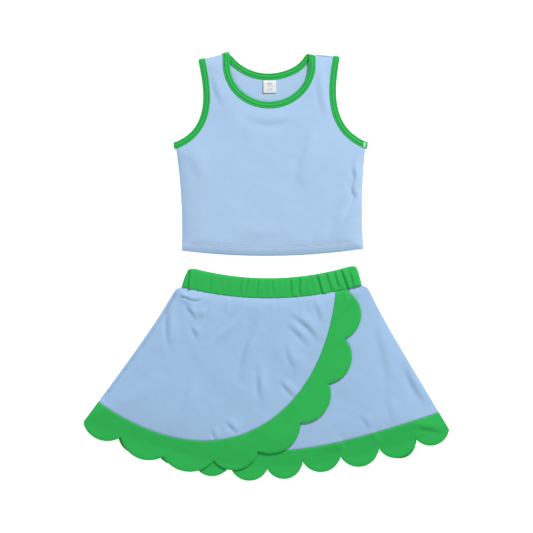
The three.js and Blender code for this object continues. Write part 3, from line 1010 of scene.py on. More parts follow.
class Top:
    """The crop top: two panels, bindings, seams, hem and bartack; its label is built by NeckLabel."""

    width: float = 10.0
    raw_edge: float = 2.0
    # Distances in from a binding's fold of its two rows of stitches.
    stitch_lines: tuple[float, float] = (2.75, 7.4)
    folds = (
        Fold(((-76, 284), (-72, 262), (-66, 244), (-57, 228)), 1.2, 5.0, 0.4),
        Fold(((80, 300), (80, 271), (83, 240), (91, 205)), 1.9, 5.5, -0.3),
        Fold(((74, 204), (67, 173), (57, 149), (46, 104)), 2.2, 9.0, 0.35, 0.35),
        Fold(((128, 98), (108, 62), (92, 28)), 1.8, 8.0, 0.3),
        Fold(((133, 168), (134, 156), (129, 141), (133, 127), (127, 112), (134, 99), (126, 84), (113, 58)),
             2.4, 4.2, 0.3, 0.6, 0.3),
        Fold(((-36, 226), (-12, 214), (12, 212), (50, 226)), 1.2, 7.0, 0.2),
        Fold(((-118, 178), (-96, 150), (-90, 110)), 1.1, 8.0, 0.2),
        Fold(((-60, 60), (-20, 48), (40, 56)), 0.81, 10.0, 0.1),
    )

    def __init__(self) -> None:
        cut = self.cut = TopPattern()
        lay = cut.laid
        sides = [lay(cut.side()), lay(cut.side() * (-1, 1))]
        arms = [lay(cut.armhole()), lay(cut.armhole() * (-1, 1))]
        shoulder = np.array([(cut.neck_half, 0.0), cut.shoulder_tip])
        seam = ((0, 4.8), (0.09, 4.5), (0.2, 2.75), (0.86, 2.6), (0.94, 3.7), (1, 3.7))
        neck = ((0, 4.9), (0.03, 5.8), (0.2, 6.8), (0.8, 6.8), (0.97, 6.2), (1, 4.9))
        hem = Line(resampled(lay(cut.hem()), 5))
        self.back = Surface(1.62, [Edge(Line(lay(cut.hem())), level(0.62), 34)])
        self.front = Surface(
            8.2,
            [Edge(Line(resampled(side, 4)), seam, 30) for side in sides]
            + [Edge(Line(resampled(arm, 4)), level(4.9), 55, 1.0) for arm in arms]
            + [Edge(Line(lay(shoulder * (s, 1))), level(4.9), 40, 1.0) for s in (1, -1)]
            + [Edge(Line(resampled(lay(cut.front_neck()), 4)), neck, 45, 1.0), Edge(hem, level(3.9), 26)],
            (*self.folds, Rumple(11, 0.16, 45, 110), Rumple(12, 0.05, 14, 30),
             Groove(hem, 11.4, 0.42, 1.5, (-0.05, 1.05))),
        )
        direction = np.diff(shoulder, axis=0)[0]
        direction = direction / np.linalg.norm(direction)
        self.along_shoulder = {s: self.turn(direction * (s, 1)) for s in (1, -1)}
        self.over_shoulder = {s: self.turn(np.array([-direction[1] * s, direction[0]])) for s in (1, -1)}
        down = np.diff(cut.side()[:2], axis=0)[0]
        down /= np.linalg.norm(down)
        self.down_side = {s: self.turn(down * (s, 1)) for s in (1, -1)}
        self.out_side = {s: self.turn(np.array([-down[1] * s, down[0]])) for s in (1, -1)}

    def turn(self, vector: Points) -> Points:
        """A pattern direction as it lies in the layout."""
        return self.cut.laid(np.array([vector]))[0] - self.cut.laid(np.zeros((1, 2)))[0]

    def binding_section(self) -> Points:
        """Folded binding with two lengthwise rows of stitching that pinch it."""
        upper = [(self.width, 0.62), (self.width, 0.9), (9.75, 1.14), (9.2, 1.25), (8.3, 1.32), (7.9, 1.16),
                 (7.4, 0.72), (6.9, 1.16), (6.3, 1.45), (5.1, 1.6), (3.9, 1.45), (3.25, 1.16), (2.75, 0.72),
                 (2.25, 1.16), (1.8, 1.32), (1.1, 1.25), (0.5, 0.95), (0.13, 0.52), (0, 0)]
        return folded_section(upper, 0.53, 1.3)

    def bindings(self) -> None:
        """Neck binding and both armhole bindings, with their stitches."""
        cut, lay = self.cut, self.cut.laid
        strip = FoldedStrip(self.binding_section(), self.front, self.back)
        plans = {}
        ends = (self.along_shoulder[-1], self.along_shoulder[1])
        ahead = stations_along(resampled(lay(cut.front_neck()), 1.6), False, ends)
        behind = stations_along(resampled(lay(cut.back_neck_edge()), 1.6), False, ends)
        plans["neck_binding"] = (ahead, behind, (self.over_shoulder[-1], self.over_shoulder[1]))
        for side, word in SIDES:
            path = lay(cut.armhole() * (side, 1))
            into = (-self.along_shoulder[side], self.down_side[side])
            placed = stations_along(path, side < 0, into)
            out = (self.over_shoulder[side], self.out_side[side])
            plans[f"armhole_binding_{word}"] = (placed, placed, out)
        for name, (ahead, behind, out) in plans.items():
            ring = swept(f"{name}_cloth", strip.ring(ahead, behind, out), True)
            settle(ring, Finishes.trim, "top", (name,))
            rows = []
            for u in self.stitch_lines:
                for place, surface in ((ahead, self.front), (behind, self.back)):
                    xy = place[0] + u * place[1]
                    rows.append(np.c_[xy, surface(xy) + 0.86])
            stitches = stitch_rows(f"{name}_stitches", rows, pitch=2.7, long=2.45, thick=0.74)
            # These stitches take the thread whose dark colour is painted shade for the grooves they lie in.
            settle(stitches, Finishes.groove_shade_thread, "top")

    def panels(self) -> None:
        """Front and back panels, their turned hems and the hem's stitching."""
        cut, lay = self.cut, self.cut.laid
        turned_long = 2 * 131
        area = abs(signed_area(cut.panel(cut.front_neck(0), 0))) + turned_long * (cut.hem_deep + 1)
        for word, neck, surface, under in (("front", cut.front_neck, self.front, -1.07),
                                           ("back", cut.back_neck_edge, self.back, 1.07)):
            name = f"top_{word}_panel"
            outline = lay(cut.panel(neck(self.raw_edge), self.raw_edge))
            panel = cloth_sheet(f"{name}_cloth", outline, surface)
            settle(panel, Finishes.top_jersey, "top", (name,))
            low, high = cut.hem(0.6), cut.hem(cut.hem_deep)
            turned = lay(join(low[3:-3], high[3:-3][::-1]))
            hem = settle(cloth_sheet(f"top_{word}_hem_turning", turned, surface, under),
                         Finishes.top_jersey, "top")
            if word == "front":
                rows = []
                for up in (10.6, 12.6):
                    xy = resampled(lay(cut.hem(up)[2:-2]), 2.5)
                    rows.append(np.c_[xy, surface(xy) + CLOTH / 2 + 0.12])
                rows_piece = stitch_rows("top_hem_stitches", rows, pitch=3.0, long=2.4, thick=0.62)
                settle(rows_piece, Finishes.jersey_thread, "top")

    def seams(self) -> None:
        """Overlocked side seams inside, and the cloth turned over each shoulder."""
        cut, lay = self.cut, self.cut.laid
        for side, word in SIDES:
            edge = cut.side()[10:-5]
            inward = left_normals(edge) * -1
            loop = join(edge + inward * 2.4, (edge + inward * (2.4 + SEAM_ALLOWANCE))[::-1]) * (side, 1)
            name = f"top_side_seam_{word}"
            strip = cloth_sheet(f"{name}_overlock", lay(loop), Between(self.back, self.front), 0.0, 0.8)
            settle(strip, Finishes.overlock, "top", (name,))
            start, end = np.array((cut.neck_half, 0.0)), np.array(cut.shoulder_tip)
            share = np.linspace(0.225, 0.775, 14)[:, None]
            line = lay((start + (end - start) * share) * (side, 1))
            upper, lower = self.front(line), self.back(line)
            middle, radius = (upper + lower) / 2, (upper - lower) / 2
            angle = np.linspace(-0.12, np.pi + 0.12, 13)
            out = self.over_shoulder[side]
            rows = []
            for i, point in enumerate(line):
                loop = []
                for add, turns in ((CLOTH / 2, angle), (-CLOTH / 2, angle[::-1])):
                    for a in turns:
                        r = radius[i] + add
                        xy = point + out * (r * max(math.sin(a), -0.2))
                        loop.append((*xy, middle[i] + r * math.cos(a)))
                rows.append(loop)
            name = f"shoulder_seam_{word}"
            cloth = swept(f"{name}_turn", np.array(rows), False)
            settle(cloth, Finishes.top_jersey, "top", (name,))

    def bartack(self) -> None:
        """Short tack of white thread where the right armhole binding ends."""
        tip = self.cut.laid(self.cut.armhole()[-1:])[0]
        rows = []
        for k in range(4):
            line = tip + self.down_side[1] * np.array([[0.5], [9.1]]) - self.out_side[1] * (0.9 + 0.72 * k)
            rows.append(np.c_[line, self.front(line) + 1.7])
        tack = stitch_rows("underarm_bartack", rows, pitch=3.0, long=7.6, thick=0.95)
        settle(tack, Finishes.label, "top")

    def build(self) -> None:
        """Builds the whole top."""
        self.panels()
        self.bindings()
        self.seams()
        self.bartack()


class NeckLabel:
    """A woven label folded double and caught under the back neck binding."""

    wide: float = 19.3
    long: float = 18.5
    top_y: float = -37.9
    ply: float = 0.42
    # Height of the cloth it lies on.
    base: float = 2.25
    # How far its outer corners curl up at the free end.
    curl: float = 0.35

    def build(self) -> None:
        """Builds the label as one folded strip."""
        cut = TopPattern()
        angle = np.linspace(np.pi / 2, -np.pi / 2, 9)
        loop = 0.42
        centre = [(0.0, 0.75), (-5.0, 0.95), (-11.0, 1.2), (-self.long + loop + 1, 1.15)]
        centre += [(-self.long + loop - loop * math.cos(a), 0.75 + loop * math.sin(a)) for a in angle[1:-1]]
        centre += [(-self.long + loop + 1, 0.32), (-9.0, 0.27), (0.0, 0.27)]
        centre = np.array(centre)
        side = left_normals(centre)
        section = np.vstack([centre + side * self.ply / 2, (centre - side * self.ply / 2)[::-1]])
        rows, flat = [], []
        at = arc_length(centre)
        for x in np.linspace(-self.wide / 2, self.wide / 2, 9):
            curl = self.curl * (x / self.wide * 2) ** 2
            xy = cut.laid(np.c_[np.full(len(section), x), self.top_y + section[:, 0]])
            curl = curl * np.clip(-section[:, 0] / self.long, 0, 1)
            rows.append(np.c_[xy, self.base + section[:, 1] + curl])
            flat.append(np.c_[np.full(len(section), x), np.r_[at, at[::-1]]])
        label = swept("woven_neck_label", np.array(rows), False, np.array(flat))
        settle(label, Finishes.label, "neck_label", ("neck_label",))
        rows = []
        # Plain bars: distance below the sewn edge, half length and how many lines make up each.
        for down, half, lines in ((4.2, 4.2, 3), (8.6, 3.0, 1), (12.6, 3.6, 1), (14.6, 3.6, 1)):
            for line in range(lines):
                x = np.linspace(-half, half, 12)
                xy = cut.laid(np.c_[x, np.full(12, self.top_y - down - line * 0.75)])
                rise = np.interp(down + line * 0.75, (0, 5, 11, 17), (0.75, 0.95, 1.2, 1.15))
                curl = self.curl * (x / self.wide * 2) ** 2 * (down / self.long)
                rows.append(np.c_[xy, self.base + rise + self.ply / 2 + curl])
        bars = stitch_rows("neck_label_bars", rows, pitch=1.4, long=1.15, thick=0.5)
        settle(bars, Finishes.label_yarn, "neck_label")


# ------------------------------------------------------------------ the skirt


@dataclass(frozen=True)
class SkirtPattern:
    """Flat pattern of the skirt: origin at the centre, level with the waistband's top ends."""

    waist_half: float = 120.4
    waist_sag: float = 15.7
    seam_half: float = 131.3
    seam_y: float = -27.5
    seam_sag: float = 17.2
    corner: tuple[float, float] = (265.4, -229.7)
    hip: float = 6.5
    border_side: float = 28.3
    wrap_side: float = 36.0
    # Where the wrap's seam meets the waist.
    wrap_end: float = 93.0
    # Notches as the cloth lies, left to right: hand-laid, so not quite evenly spaced or equally deep.
    hem_notches: tuple[tuple[float, float], ...] = (
        (-265.4, -226.2), (-215.5, -245.5), (-161, -261.5), (-108, -277), (-53, -290.5), (1.3, -295.8),
        (52.5, -284.6), (107.6, -277.8), (163.4, -265.8), (216.5, -251.5), (265.4, -238.2))
    hem_depths: tuple[float, ...] = (16, 20.4, 20, 22, 19.4, 19.6, 18.8, 20.4, 20.8, 16.4)
    wrap_notches: tuple[tuple[float, float], ...] = (
        (-264.8, -232), (-211.6, -249.3), (-150.1, -277.4), (-76.5, -283.4), (-12, -269.4), (49, -228.2),
        (90.3, -171.2), (113.7, -106.1), (119.0, -39.2))
    wrap_depths: tuple[float, ...] = (13, 17.1, 19.0, 20.4, 20.2, 19.4, 20.6, 20.8)

    def laid(self, points: Points) -> Points:
        """Pattern points as they lie in the layout: a little askew, more so at the hem."""
        down = np.clip(-points[:, 1] / -self.corner[1], 0, 1)
        lean = math.tan(math.radians(0.86)) * (1 - down) + math.tan(math.radians(-1.3)) * down
        x = 8.5 + points[:, 0] - 8.5 * down
        y = -1.3 + points[:, 1] + points[:, 0] * lean + CENTRE_SHIFT
        return np.c_[x, y]

    def side(self) -> Points:
        """Right side seam from the waist to the hem, a little full at the hip."""
        start, end = np.array((self.seam_half, self.seam_y)), np.array(self.corner)
        share = np.linspace(0, 1, 120)[:, None]
        line = start + (end - start) * share
        at = share[:, 0] * np.linalg.norm(end - start)
        full = self.hip * (1 - np.exp(-at / 2.2)) * np.exp(-((at / 48) ** 1.3))
        return line + np.c_[full, np.zeros(len(full))]

    def up_side(self, up: float) -> Points:
        """Point on the right side seam, up from the hem corner."""
        start, end = np.array((self.seam_half, self.seam_y)), np.array(self.corner)
        return end + (start - end) / np.linalg.norm(start - end) * up

    def side_between(self, low: float, high: float | None = None) -> Points:
        """Right side seam down to low from high, or from the waist, both measured up from the hem corner."""
        line = self.side()
        up = arc_length(line)[-1] - arc_length(line)
        part = line[(up > low + 0.3) & (up < (high or math.inf) - 0.3)]
        if high is not None:
            part = np.vstack([[self.up_side(high)], part])
        return np.vstack([part, [self.up_side(low)]])

    def hem(self, up: float = 0.0) -> Points:
        """Hem line from left to right, its ends up the side seams."""
        right = self.up_side(up)
        left = right * (-1, 1)
        return cubic(left, left + (235, -80), right + (-235, -80), right, 240)

    def waist_edge(self, up: float = 0.0) -> Points:
        """Lower edge of the waistband from left to right, or a line above it."""
        return hanging_arc(self.seam_half - 0.4 * up, self.seam_y + up, self.seam_sag, 160)

    def on_waist(self, x: float) -> Points:
        """Point on the waistband's lower edge at x."""
        line = self.waist_edge()
        return np.array((x, np.interp(x, *line.T)))

    def wrap_seam(self) -> Points:
        """Seam between the wrapped panel and its border, from the left side up to the waist."""
        start, end = self.up_side(self.wrap_side) * (-1, 1), self.on_waist(self.wrap_end)
        return cubic(start, start + (181.6, -125.9), end + (-10.3, -179.2), end, 300)


class Skirt:
    """Back and front panels with their scalloped borders, facings and inner seams."""

    folds = (
        Fold(((158, -62), (176, -124), (184, -168), (186, -205)), 1.3, 8.0, 0.4),
        Fold(((200, -130), (217, -172), (230, -192), (240, -207)), 2.1, 6.0, 0.35),
        Fold(((136, -212), (150, -226), (153, -243)), 1.2, 5.0),
        Fold(((183, -186), (184, -230)), 1, 5.0, 0.2),
        Fold(((205, -230), (234, -233), (262, -241)), 1.4, 4.0, 0.3),
        Fold(((121, -32), (128, -48)), 1.2, 2.6, 0.3, 0.4, 0.4),
        Fold(((129, -32), (133, -46)), 0.91, 2.4, 0.3, 0.4, 0.4),
        Fold(((60, -268), (84, -262), (120, -258)), 0.78, 7.0, 0.2),
        Fold(((110, -272), (107, -262), (100, -246)), 1, 4.5, 0.2),
        Fold(((164, -262), (158, -248), (150, -236)), 1, 4.5, 0.2),
    )

    def __init__(self) -> None:
        cut = self.cut = SkirtPattern()
        lay = cut.laid
        sides = [Line(resampled(lay(cut.side() * (s, 1)), 4)) for s in (1, -1)]
        waist = Line(resampled(lay(cut.waist_edge()), 6))
        hem = Line(resampled(lay(cut.hem()), 8))
        self.back = Surface(
            1.02,
            [Edge(waist, level(2.3), 36, 1.2, -1)]
            + [Edge(side, ((0, 4.4), (0.05, 3.0), (0.2, 1.02), (1, 1.02)), 12, 1.0) for side in sides],
        )
        seam = ((0, 5.55), (0.05, 4.6), (0.2, 2.2), (0.82, 2.2), (0.9, 3.7), (1, 3.7))
        self.front_smooth = Surface(
            7.7,
            [Edge(waist, level(7.15), 20, 1.0, -1), Edge(hem, level(3.75), 62, 1.1, 1)]
            + [Edge(side, seam, reach) for side, reach in zip(sides, (100, 38))],
            (*self.folds, Rumple(21, 0.16, 45, 110), Rumple(22, 0.05, 14, 30),
             Gathers(waist, 23, 0.35, 13.0, 22.0), Groove(sides[1], 4.4, 1.9, 1.2)),
            pinned=waist,
        )
        # Turned edges roll down a little along the scallops, and the cloth sinks along the border's seam.
        edge = Line(scalloped(np.array(cut.hem_notches), cut.hem_depths)[::3])
        rolled = Groove(edge, 0.0, 0.55, 1.7, WHOLE)
        ditch = Groove(Line(resampled(lay(cut.hem(cut.border_side)), 6)), 0.0, 0.55, 1.1, WHOLE)
        self.front = Surface(0.0, (), (rolled, ditch), self.front_smooth)

    def hem_border(self, back: bool) -> Points:
        """Outline of the hem border in the layout."""
        cut = self.cut
        low = scalloped(np.array(cut.hem_notches), cut.hem_depths)
        left = cut.side_between(0, cut.border_side) * (-1, 1)
        right = cut.side_between(0, cut.border_side)[::-1]
        loop = join(low, cut.laid(join(right, cut.hem(cut.border_side)[::-1], left)))
        if back:
            # The back hem lies a little lower, so it shows past the front one in places.
            sway = np.exp(-(((loop[:, 0] - 203) / 17) ** 2)) * np.clip(-(loop[:, 1] + 225) / 40, 0, 1)
            loop = loop + np.c_[3.2 * sway, -1.2 * sway]
        return loop

    def panel(self) -> Points:
        """Outline of the front or back panel in the layout."""
        cut = self.cut
        side = cut.side_between(cut.border_side)
        right = join(cut.waist_edge(UNDER_CASING)[80:], side)
        return cut.laid(join(right, cut.hem(cut.border_side)[::-1], mirrored(right)))

    def panels(self) -> None:
        """Panels, borders and facings of the back and the front."""
        area = abs(signed_area(self.panel()))
        for word, surface, up in (("back", self.back, -1), ("front", self.front, 1)):
            name = f"skirt_{word}_panel"
            panel = cloth_sheet(f"{name}_cloth", self.panel(), surface)
            settle(panel, Finishes.skirt_jersey, "skirt", (name,))
            outline = self.hem_border(word == "back")
            border = cloth_sheet(f"{word}_hem_border_cloth", outline, surface, PLY_SHIFT * up, PAIRED_PLY)
            settle(border, Finishes.trim, "skirt", (f"{word}_hem_border",))
            facing = cloth_sheet(f"{word}_hem_facing_cloth", outline, surface, -PLY_SHIFT * up, PAIRED_PLY)
            settle(facing, Finishes.trim, "skirt", (f"{word}_hem_facing",))

    def seams(self) -> None:
        """Overlocked seam allowances inside the side and waist seams."""
        cut = self.cut
        middle = Between(self.back, self.front)
        for side, word in SIDES:
            edge = resampled(cut.side_between(cut.border_side + 2), 3)[3:]
            inward = left_normals(edge) * -1
            loop = join(edge + inward * 2.6, (edge + inward * (2.6 + SEAM_ALLOWANCE))[::-1]) * (side, 1)
            name = f"skirt_side_seam_{word}"
            strip = cloth_sheet(f"{name}_overlock", cut.laid(loop), middle, 0.0, 0.8)
            settle(strip, Finishes.overlock, "skirt", (name,))
        low, high = cut.waist_edge(-7.0)[8:-8], cut.waist_edge(-1.0)[8:-8]
        loop = cut.laid(join(low, high[::-1]))
        for word, surface, shift in (("back", self.back, 1.1), ("front", self.front, -1.1)):
            name = f"waist_seam_{word}"
            strip = cloth_sheet(f"{name}_overlock", loop, surface, shift, 0.9)
            settle(strip, Finishes.overlock, "skirt", (name,))

    def build(self) -> None:
        """Builds the skirt below its waistband."""
        self.panels()
        self.seams()


class Overlay:
    """The wrapped front: panel, scalloped border and facing, laid on one surface as one free flap."""

    folds = (
        Fold(((-127, -42), (-116, -44), (-104, -50), (-95, -44)), 2.6, 2.4, 0.3, 0.6, 0.25),
        Fold(((-124, -49), (-112, -51), (-101, -57)), 1.6, 2.4, -0.3, 0.45, 0.3),
        Fold(((-130, -46), (-137, -61), (-139, -77), (-139, -100), (-136, -126)), 2.4, 4.6, 0.4),
        Fold(((-116, -50), (-108, -64), (-97, -78)), 2.1, 3.6, 0.3, 0.4),
        Fold(((-97, -78), (-92, -70), (-88, -58)), 1.7, 3.2, 0.3, 0.4),
        Fold(((-107, -82), (-101, -95), (-95, -108)), 1.7, 4.2, 0.3),
        Fold(((-33, -58), (-39, -77), (-62, -98), (-80, -118)), 1.8, 4.8, 0.3),
        Fold(((9, -70), (-12, -93), (-28, -128), (-37, -172)), 2.2, 5.6, 0.4),
        Fold(((30, -64), (53, -77), (71, -94), (82, -114)), 2.1, 5.0, 0.4),
        Fold(((26, -76), (46, -93), (67, -118)), 1.5, 4.6, 0.3),
        Fold(((71, -48), (80, -66), (84, -86)), 1.4, 4.4, 0.3),
        Fold(((-4, -136), (-8, -170), (-2, -206)), 2.1, 5.2, 0.4),
        Fold(((30, -106), (37, -130), (49, -160)), 1.5, 5.2, 0.3),
        Fold(((20, -161), (31, -175), (47, -193)), 1.7, 4.2, 0.3),
        Fold(((-77, -232), (-73, -243), (-69, -256)), 1.4, 3.6, 0.2),
        Fold(((-60, -222), (-49, -230), (-37, -244)), 1.8, 4.0, 0.3),
        Fold(((-150, -150), (-170, -176), (-200, -205)), 1.3, 9.0, 0.2),
        Fold(((-100, -160), (-110, -195), (-130, -228)), 1.1, 9.0, 0.2),
    )

    def __init__(self, skirt: Skirt) -> None:
        cut = self.cut = skirt.cut
        waist = Line(resampled(cut.laid(cut.waist_edge()), 6))
        left = Line(resampled(cut.laid(cut.side() * (-1, 1)), 4))
        seam = Line(resampled(cut.laid(cut.wrap_seam()), 6))
        edge = Line(scalloped(np.array(cut.wrap_notches), cut.wrap_depths)[::3])
        self.surface = Surface(
            3.0,
            [Edge(waist, level(1.12), 16, 1.0, -1),
             Edge(left, ((0, 1.1), (0.78, 1.1), (0.86, 2.2), (1, 2.4)), 16, 1.0)],
            (*self.folds, Rumple(31, 0.16, 45, 110, True), Rumple(32, 0.04, 14, 30, True),
             Gathers(waist, 33, 0.4, 15.0, 20.0), Groove(left, 4.4, 0.9, 1.2),
             Groove(seam, 0.0, 0.6, 1.1, WHOLE), Groove(edge, 0.0, 0.6, 1.8, WHOLE)),
            skirt.front_smooth,
            waist,
        )
        # The fold line's two ends, and the way across it towards the free edge.
        near, far = np.array((-245.79, -199.75)), np.array((98.64, -38.42))
        away = np.array((0.424, -0.906))
        middle = (near + far) / 2
        before, after, fold_z = 5, 34, 0.0129
        start, end = middle - away * before, middle + away * after
        self.bend = Bend("skirt", "overlay_flap", (*(start * MM), fold_z), (*(end * MM), fold_z))

    def build(self) -> None:
        """Builds the wrapped front."""
        cut = self.cut
        seam = cut.wrap_seam()
        side = cut.side_between(cut.wrap_side) * (-1, 1)
        waist = cut.waist_edge(UNDER_CASING)
        top = waist[waist[:, 0] < cut.wrap_end]
        outline = cut.laid(join(seam, top[::-1], side))
        panel = cloth_sheet("overlay_panel_cloth", outline, self.surface)
        settle(panel, Finishes.skirt_jersey, self.bend, ("overlay_panel", "overlay_flap_panel"))
        edge = scalloped(np.array(cut.wrap_notches), cut.wrap_depths)
        border_end = 111
        top = waist[(waist[:, 0] > cut.wrap_end) & (waist[:, 0] < border_end)]
        corner = cut.side_between(0, cut.wrap_side) * (-1, 1)
        loop = join(edge, cut.laid(join(top[::-1], seam[::-1], corner)))
        for word, shift in (("border", PLY_SHIFT), ("facing", -PLY_SHIFT)):
            name = f"overlay_flap_{word}"
            ply = cloth_sheet(f"{name}_cloth", loop, self.surface, shift, PAIRED_PLY)
            settle(ply, Finishes.trim, self.bend, (name,))


class Waistband:
    """Elastic in a folded casing, drawn in round the waist."""

    # Heights of the middle of the front and of the back, and half the thickness of the padded band.
    front_z: float = 7.8
    back_z: float = 2.4
    half_thick: float = 2.3
    pleats = (
        Fold(((-108, 5), (-110, -14), (-113, -42)), 3.4, 1.5, 0.2, 1.0, 0.1),
        Fold(((-31, -14), (-38, -40)), 1.1, 1.7, 0.3, 0.7, 0.3),
        Fold(((-22, -14), (-30, -40)), 1.3, 1.7, 0.3, 0.7, 0.3),
        Fold(((-8, -15), (-13, -42)), 1.1, 1.7, 0.3, 0.7, 0.3),
        Fold(((36, -12), (39, -48)), 1.5, 1.7, 0.3, 0.8, 0.2),
        Fold(((51, -10), (50, -44)), 1.7, 1.9, 0.3, 0.8, 0.2),
        Fold(((74, -8), (85, -46)), 1.8, 2.0, 0.3, 0.8, 0.2),
        Fold(((88, -6), (96, -36)), 1.5, 1.9, 0.3, 0.8, 0.2),
        Fold(((99, -4), (107, -32)), 1.4, 1.9, 0.3, 0.8, 0.2),
        Fold(((108, 0), (124, -42)), 1.9, 2.1, 0.3, 0.8, 0.15),
        Fold(((124, -8), (130, -40)), 1.4, 1.9, 0.3, 0.8, 0.2),
        Fold(((-75, -6), (-80, -36)), 0.7, 2.4, 0.3, 0.5, 0.3),
        Fold(((10, -16), (12, -44)), 0.7, 2.2, 0.3, 0.5, 0.3),
    )

    def __init__(self) -> None:
        self.cut = SkirtPattern()

    def ring(self, section: Points, relief: bool) -> Points:
        """Sections once round the waist.

        Args:
            section: (m, 2) closed loop of (share of the height down, distance out).
            relief: True adds puckers to the outside.
        Returns:
            (stations, section, 3) points.
        """
        cut = self.cut
        radius = (self.front_z - self.back_z) / 2
        middle = (self.front_z + self.back_z) / 2
        inner = radius + self.half_thick
        # Puckers show only where the section is further out than its slot, and dip no deeper than this.
        face, deepest = 1.3, -0.85
        count = 200
        share = np.linspace(-1, 1, count)
        v, w = section.T

        def plan(q: float) -> Points:
            """Section points at a share of the band's width, rounded at its upper corners."""
            tops = np.array((q * (cut.waist_half + 2.4 - inner), 1.9 * q * q))
            arc = hanging_arc(cut.waist_half, 0.0, cut.waist_sag)
            tops[1] += np.interp(tops[0], *arc.T)
            lows = np.array((q * (cut.seam_half - inner), 0.0))
            lows[1] = np.interp(lows[0], *cut.waist_edge().T) + 0.8 * q * q
            round_off = 1.2 * np.clip((abs(q) - 0.93) / 0.07, 0, 1) ** 2
            tops[1] -= round_off
            return cut.laid(tops + (lows - tops) * v[:, None])

        rows = []
        for q in share:
            xy = plan(q)
            z = self.front_z + w
            if relief:
                lift = sum(fold.lift(xy) for fold in self.pleats)
                lift = lift + self.puckers(xy, 51, 0.05 + 0.07 * np.clip(xy[:, 0] / 60, 0, 1))
                z = z + np.where(w > face, np.maximum(lift, deepest), 0) * np.clip((w - face) / 0.5, 0, 1)
            rows.append(np.c_[xy, z])

        def turn(q: int, angles: Points) -> None:
            """Adds the sections that go round one end of the band, its upper corner sinking a little."""
            xy = plan(q)
            reach = np.maximum(radius + w, 0.05)
            for a in angles:
                bent = xy + np.c_[q * reach * math.sin(a), np.full(len(w), -1.0 * math.sin(a)) * (v < 0.3)]
                rows.append(np.c_[bent, middle + reach * math.cos(a)])

        steps = np.linspace(0, np.pi, 11)[1:-1]
        turn(1, steps)
        for q in share[::-1]:
            rows.append(np.c_[plan(q), self.back_z - w])
        turn(-1, steps[::-1])
        return np.array(rows)

    def puckers(self, xy: Points, seed: int, high: Points) -> Points:
        """Fine upright puckers where the elastic draws the casing in."""
        rng = np.random.default_rng(seed)
        total = np.zeros(len(xy))
        for length in (7.0, 9.5, 13.0, 19.0):
            total += np.sin((xy[:, 0] + 0.15 * xy[:, 1]) * 2 * np.pi / length + rng.uniform(0, 6.3))
        return high * total

    def build(self) -> None:
        """Builds the casing and the elastic inside it."""
        upper = [(1.0, 1.3), (1.0, 1.7), (0.992, 2.0), (0.975, 2.2), (0.94, self.half_thick), (0.86, 2.36),
                 (0.74, 2.42), (0.6, 2.45), (0.45, 2.45), (0.3, 2.42), (0.18, 2.32), (0.09, 2.02),
                 (0.035, 1.45), (0.008, 0.75), (0, 0)]
        fine = np.array(upper)
        fine = np.vstack([fine[:5], densified(fine[4:12] * (30, 1), 1.5)[1:] / (30, 1), fine[12:]])
        section = folded_section([tuple(p) for p in fine], 1.22, 0.1)
        casing = swept("waistband_casing_cloth", self.ring(section, True), True)
        settle(casing, Finishes.trim, "skirt", ("waistband_casing",))
        bar = np.array([(0.14, 0.4), (0.16, 0.62), (0.5, 0.62), (0.78, 0.62), (0.8, 0.4),
                        (0.8, -0.4), (0.78, -0.62), (0.5, -0.62), (0.16, -0.62), (0.14, -0.4)])
        elastic = swept("waist_elastic_braid", self.ring(bar, False), True)
        settle(elastic, Finishes.elastic, "skirt", ("waist_elastic",))


# ------------------------------------------------------------------ studio


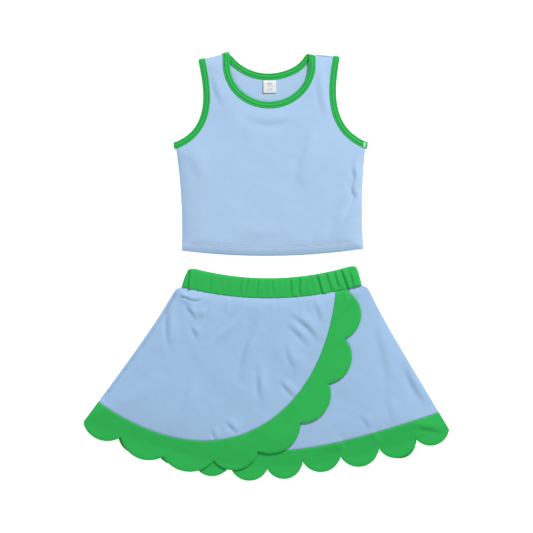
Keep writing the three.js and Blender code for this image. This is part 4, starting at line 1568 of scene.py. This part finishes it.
class Studio:
    """White floor, soft light and a long lens from above."""

    # All in metres: the width seen, the camera's distance, the point it looks at and the floor's half size.
    frame_width: float = 0.77285
    distance: float = 4.0
    aim: tuple[float, float] = (-0.00158, 0.009)
    floor_half: float = 6.0
    sensor_mm: float = 36

    def floor(self) -> None:
        """A white seamless floor under everything."""
        mesh = bpy.data.meshes.new("studio_floor")
        half = self.floor_half
        corners = [(-half, -half, 0), (half, -half, 0), (half, half, 0), (-half, half, 0)]
        mesh.from_pydata(corners, [], [(0, 1, 2, 3)])
        floor = bpy.data.objects.new("studio_floor", mesh)
        bpy.context.scene.collection.objects.link(floor)
        material = bpy.data.materials.new("matt_white_paper")
        material.use_nodes = True
        tree = material.node_tree
        tree.nodes.clear()
        place = add_node(tree, "ShaderNodeTexCoord").outputs["Object"]
        grain = add_node(tree, "ShaderNodeTexNoise", Vector=place, Scale=6.0)
        tone = add_node(tree, "ShaderNodeMapRange", Value=grain.outputs["Fac"], To_Min=0.955, To_Max=0.965)
        colour = add_node(tree, "ShaderNodeCombineColor", Red=tone.outputs[0], Green=tone.outputs[0],
                          Blue=tone.outputs[0])
        shader = add_node(tree, "ShaderNodeBsdfPrincipled", Base_Color=colour.outputs[0], Roughness=1.0,
                          Specular_IOR_Level=0.0, Emission_Color=(1, 1, 1, 1), Emission_Strength=0.62)
        add_node(tree, "ShaderNodeOutputMaterial", Surface=shader.outputs[0])
        mesh.materials.append(material)

    def light(self, name: str, place: tuple[float, float, float], size: float, power: float) -> None:
        """Adds one square softbox aimed at the origin."""
        lamp = bpy.data.lights.new(name, "AREA")
        lamp.size, lamp.energy = size, power
        made = bpy.data.objects.new(name, lamp)
        made.location = place
        made.rotation_euler = (-Vector(place)).to_track_quat("-Z", "Y").to_euler()
        bpy.context.scene.collection.objects.link(made)

    def build(self) -> None:
        """Builds floor, lights, world and camera."""
        self.floor()
        self.light("key_softbox", (1.9, 3.4, 3.1), size=1.1, power=250)
        self.light("fill_softbox", (-1.2, -1.0, 3.0), size=1.8, power=22)
        world = bpy.data.worlds.new("studio_white")
        world.use_nodes = True
        world.node_tree.nodes["Background"].inputs["Color"].default_value = (1, 1, 1, 1)
        world.node_tree.nodes["Background"].inputs["Strength"].default_value = 0.285
        bpy.context.scene.world = world
        lens = bpy.data.cameras.new("camera")
        lens.sensor_width = self.sensor_mm
        lens.lens = self.sensor_mm * self.distance / self.frame_width
        camera = bpy.data.objects.new("camera", lens)
        camera.location = (0, self.aim[0], self.distance + self.aim[1])
        bpy.context.scene.collection.objects.link(camera)
        bpy.context.scene.camera = camera
        bpy.context.scene.view_settings.view_transform = "Standard"


def main() -> None:
    """Builds the uniform and the studio."""
    Top().build()
    NeckLabel().build()
    skirt = Skirt()
    skirt.build()
    Overlay(skirt).build()
    Waistband().build()
    Studio().build()


if __name__ == "__main__":
    main()
